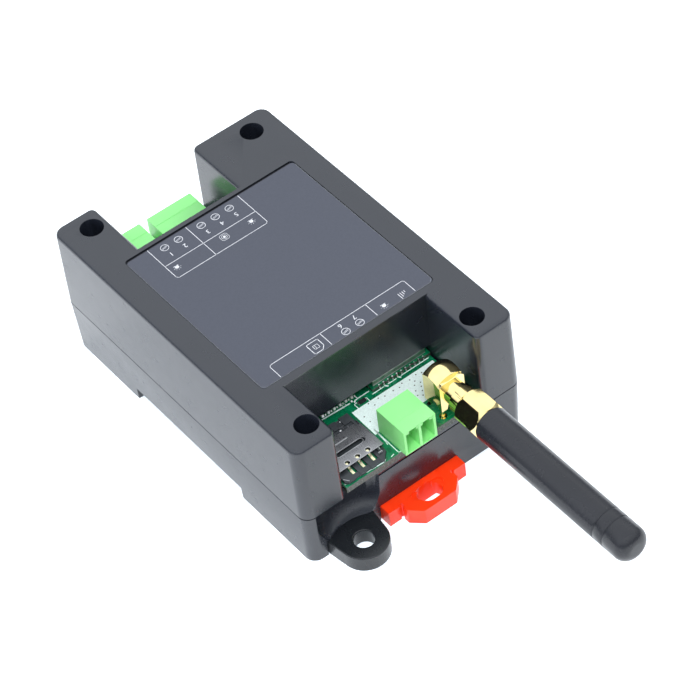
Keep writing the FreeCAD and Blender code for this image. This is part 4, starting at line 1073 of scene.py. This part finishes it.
class OPENER_OT_small_parts(bpy.types.Operator):
    """Chips, resistors, capacitors and lights on the board"""
    bl_idname = "opener.small_parts"
    bl_label = "Small parts"

    def execute(self, context):
        paint(moulded_epoxy_and_shadow, "board_chips")
        paint(tan_ceramic, "board_passives")
        paint(clear_resin, "signal_led", "run_led", "relay_led")
        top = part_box("main_board")[1][2] / MM
        z0 = top - SINK
        shape = bmesh.new()
        first, pitch = -9.6, 1.55
        for i in range(6):
            x = first + i * pitch
            for y in (-24.7, -23.5):
                block(shape, x - 0.42, x + 0.42, y - 0.2, y + 0.2, z0, top + 0.47)
            wedge(shape, x, -25.25, 0.5, 0.35, z0, top + 0.42)
            wedge(shape, x + 0.7, -25.2, 0.3, 0.25, z0, top + 0.3)
        for x in (-1.85, -0.15):
            block(shape, x - 0.2, x + 0.2, -27.75, -27.0, z0, top + 0.4)
        for x, y in ((-2.5, -26.0), (-2.1, -26.5)):
            wedge(shape, x, y, 0.35, 0.3, z0, top + 0.25)
        piece("passive_ends", shape, bright_steel_and_highlights)
        shape = bmesh.new()
        block(shape, -1.75, -0.05, -27.85, -26.95, z0, top + 0.48)
        block(shape, 10.4, 11.3, -36.25, -35.8, z0, top + 0.4)
        piece("front_chips", shape, moulded_epoxy_and_shadow)
        return {"FINISHED"}


class OPENER_OT_power_parts(bpy.types.Operator):
    """Relay, capacitors and coil inside the case"""
    bl_idname = "opener.power_parts"
    bl_label = "Power parts"

    def execute(self, context):
        paint(blue_pbt, "relay")
        paint(drawn_aluminium, "capacitors")
        paint(moulded_epoxy_and_shadow, "power_coil")
        return {"FINISHED"}


class OPENER_OT_reset_button(bpy.types.Operator):
    """Reset button"""
    bl_idname = "opener.reset_button"
    bl_label = "Reset button"

    def execute(self, context):
        paint(moulded_epoxy_and_shadow, "reset_switch_case", "reset_plunger")
        return {"FINISHED"}


class OPENER_OT_screws(bpy.types.Operator):
    """Case and board screws"""
    bl_idname = "opener.screws"
    bl_label = "Screws"

    def execute(self, context):
        paint(zinc_plate, "cover_screws", "board_screws")
        return {"FINISHED"}


class OPENER_OT_stage(bpy.types.Operator):
    """Pale floor, soft studio light and the camera"""
    bl_idname = "opener.stage"
    bl_label = "Stage"

    def execute(self, context):
        self.floor()
        self.world()
        # Places and sizes in metres, powers in watts
        self.lamp("key", (-0.45, -0.7, 1.6), size=1.0, power=26)
        self.lamp("left", (-1.5, 0.2, 0.45), size=1.0, power=22)
        self.lamp("right", (1.1, 0.1, 1.0), size=0.8, power=8)
        self.camera()
        bpy.context.scene.view_settings.view_transform = "Standard"
        return {"FINISHED"}

    def floor(self):
        """Seamless paper: white to the camera and in reflections, with the object's own shadow kept."""
        reach, gap = 4, 0.00005
        shape = bmesh.new()
        bmesh.ops.create_grid(
            shape, x_segments=1, y_segments=1, size=reach, matrix=Matrix.Translation((0, 0, -gap)))
        material = bpy.data.materials.new("white_paper")
        tree = cleared(material)
        matt = add(tree, "BsdfDiffuse", {"Color": linear("f4f4f4")})
        glow = add(tree, "Emission", {"Color": (0.85, 1.0, 1.15, 1), "Strength": 0.6})
        ray = add(tree, "LightPath").outputs
        seen = either(tree, ray["Is Camera Ray"], ray["Is Glossy Ray"], ray["Is Transmission Ray"])
        both = add(tree, "AddShader", {0: matt.outputs[0], 1: glow.outputs[0]})
        pick = add(tree, "MixShader", {0: seen, 1: matt.outputs[0], 2: both.outputs[0]})
        add(tree, "OutputMaterial", {"Surface": pick.outputs[0]})
        made = put("floor", mesh_of("floor", shape, material))

    def world(self):
        """Studio: even light, reflections of dark walls below a bright ceiling, and a white backdrop."""
        world = bpy.data.worlds.new("studio")
        bpy.context.scene.world = world
        tree = cleared(world)
        even = add(tree, "Background", {"Color": linear("f4f6fa"), "Strength": 0.45})
        white = add(tree, "Background", {"Color": grey(1.0), "Strength": 1.0})
        height = add(tree, "SeparateXYZ", {
            "Vector": add(tree, "TexCoord").outputs["Generated"]}).outputs["Z"]
        walls, ceiling = (0.2, 0.22, 0.25, 1), (0.92, 0.96, 1.0, 1)
        band = add(tree, "ValToRGB", {"Fac": height}, [(0.1, walls), (0.6, ceiling)])
        mirrored = add(tree, "Background", {"Color": band.outputs["Color"], "Strength": 1.6})
        ray = add(tree, "LightPath").outputs
        room = add(tree, "MixShader", {
            0: ray["Is Glossy Ray"], 1: even.outputs[0], 2: mirrored.outputs[0]})
        straight = either(tree, ray["Is Camera Ray"], ray["Is Transmission Ray"])
        pick = add(tree, "MixShader", {0: straight, 1: room.outputs[0], 2: white.outputs[0]})
        add(tree, "OutputWorld", {"Surface": pick.outputs[0]})

    def lamp(self, name, place, size, power):
        """Square area light that faces the object and isn't mirrored in it."""
        light = bpy.data.lights.new(name, "AREA")
        light.shape = "SQUARE"
        light.size = size
        light.energy = power
        made = put(name, light)
        made.location = place
        target = Vector((0, 0, 0.02))
        made.rotation_euler = (target - Vector(place)).to_track_quat("-Z", "Y").to_euler()
        made.visible_glossy = False

    def camera(self):
        """The photograph's view: where the camera stood, how it was turned and its angle of view."""
        # Angles in radians, as fitted to the photograph
        azimuth, elevation, roll = 0.5546, 0.8212, -0.14637
        # The frame's origin seen from the camera: across, above and ahead
        across, above, away = 11.80403, 6.90304, 693.804
        focal_pixels, photo_pixels, sensor = 3159.04, 700, 36
        level = math.cos(elevation)
        ahead = Vector((math.sin(azimuth) * level, math.cos(azimuth) * level, -math.sin(elevation)))
        right = ahead.cross(Vector((0, 0, 1))).normalized()
        up = right.cross(ahead)
        c, s = math.cos(roll), math.sin(roll)
        turned_right = c * right + s * up
        turned_up = -s * right + c * up
        place = (turned_right * across + turned_up * above - ahead * away) * MM
        lens = bpy.data.cameras.new("camera")
        lens.sensor_width = sensor
        lens.lens = focal_pixels / photo_pixels * sensor
        lens.clip_start = 0.05
        lens.clip_end = 20
        made = put("camera", lens)
        axes = Matrix((turned_right, turned_up, -ahead)).transposed()
        made.matrix_world = Matrix.Translation(place) @ axes.to_4x4()
        bpy.context.scene.camera = made


class OPENER_PT_panel(bpy.types.Panel):
    """Lists the pieces and their sizes and colours"""
    bl_idname = "OPENER_PT_panel"
    bl_label = "Door opener"
    bl_space_type = "VIEW_3D"
    bl_region_type = "UI"
    bl_category = "Door opener"

    def draw(self, context):
        for name in OpenerSettings.__annotations__:
            self.layout.prop(context.scene.opener, name)
        for operator in OPERATORS:
            self.layout.operator(operator.bl_idname)


OPERATORS = [
    OPENER_OT_case, OPENER_OT_ears, OPENER_OT_clip, OPENER_OT_label, OPENER_OT_board, OPENER_OT_headers,
    OPENER_OT_sim_holder, OPENER_OT_aerial_socket, OPENER_OT_antenna, OPENER_OT_module,
    OPENER_OT_small_parts, OPENER_OT_power_parts, OPENER_OT_reset_button, OPENER_OT_screws,
    OPENER_OT_stage,
]


def register():
    bpy.utils.register_class(OpenerSettings)
    for operator in OPERATORS:
        bpy.utils.register_class(operator)
    bpy.utils.register_class(OPENER_PT_panel)
    bpy.types.Scene.opener = PointerProperty(type=OpenerSettings)


def unregister():
    del bpy.types.Scene.opener
    bpy.utils.unregister_class(OPENER_PT_panel)
    for operator in reversed(OPERATORS):
        bpy.utils.unregister_class(operator)
    bpy.utils.unregister_class(OpenerSettings)


def main():
    register()
    for operator in OPERATORS:
        group, call = operator.bl_idname.split(".")
        getattr(getattr(bpy.ops, group), call)()


if __name__ == "__main__":
    main()
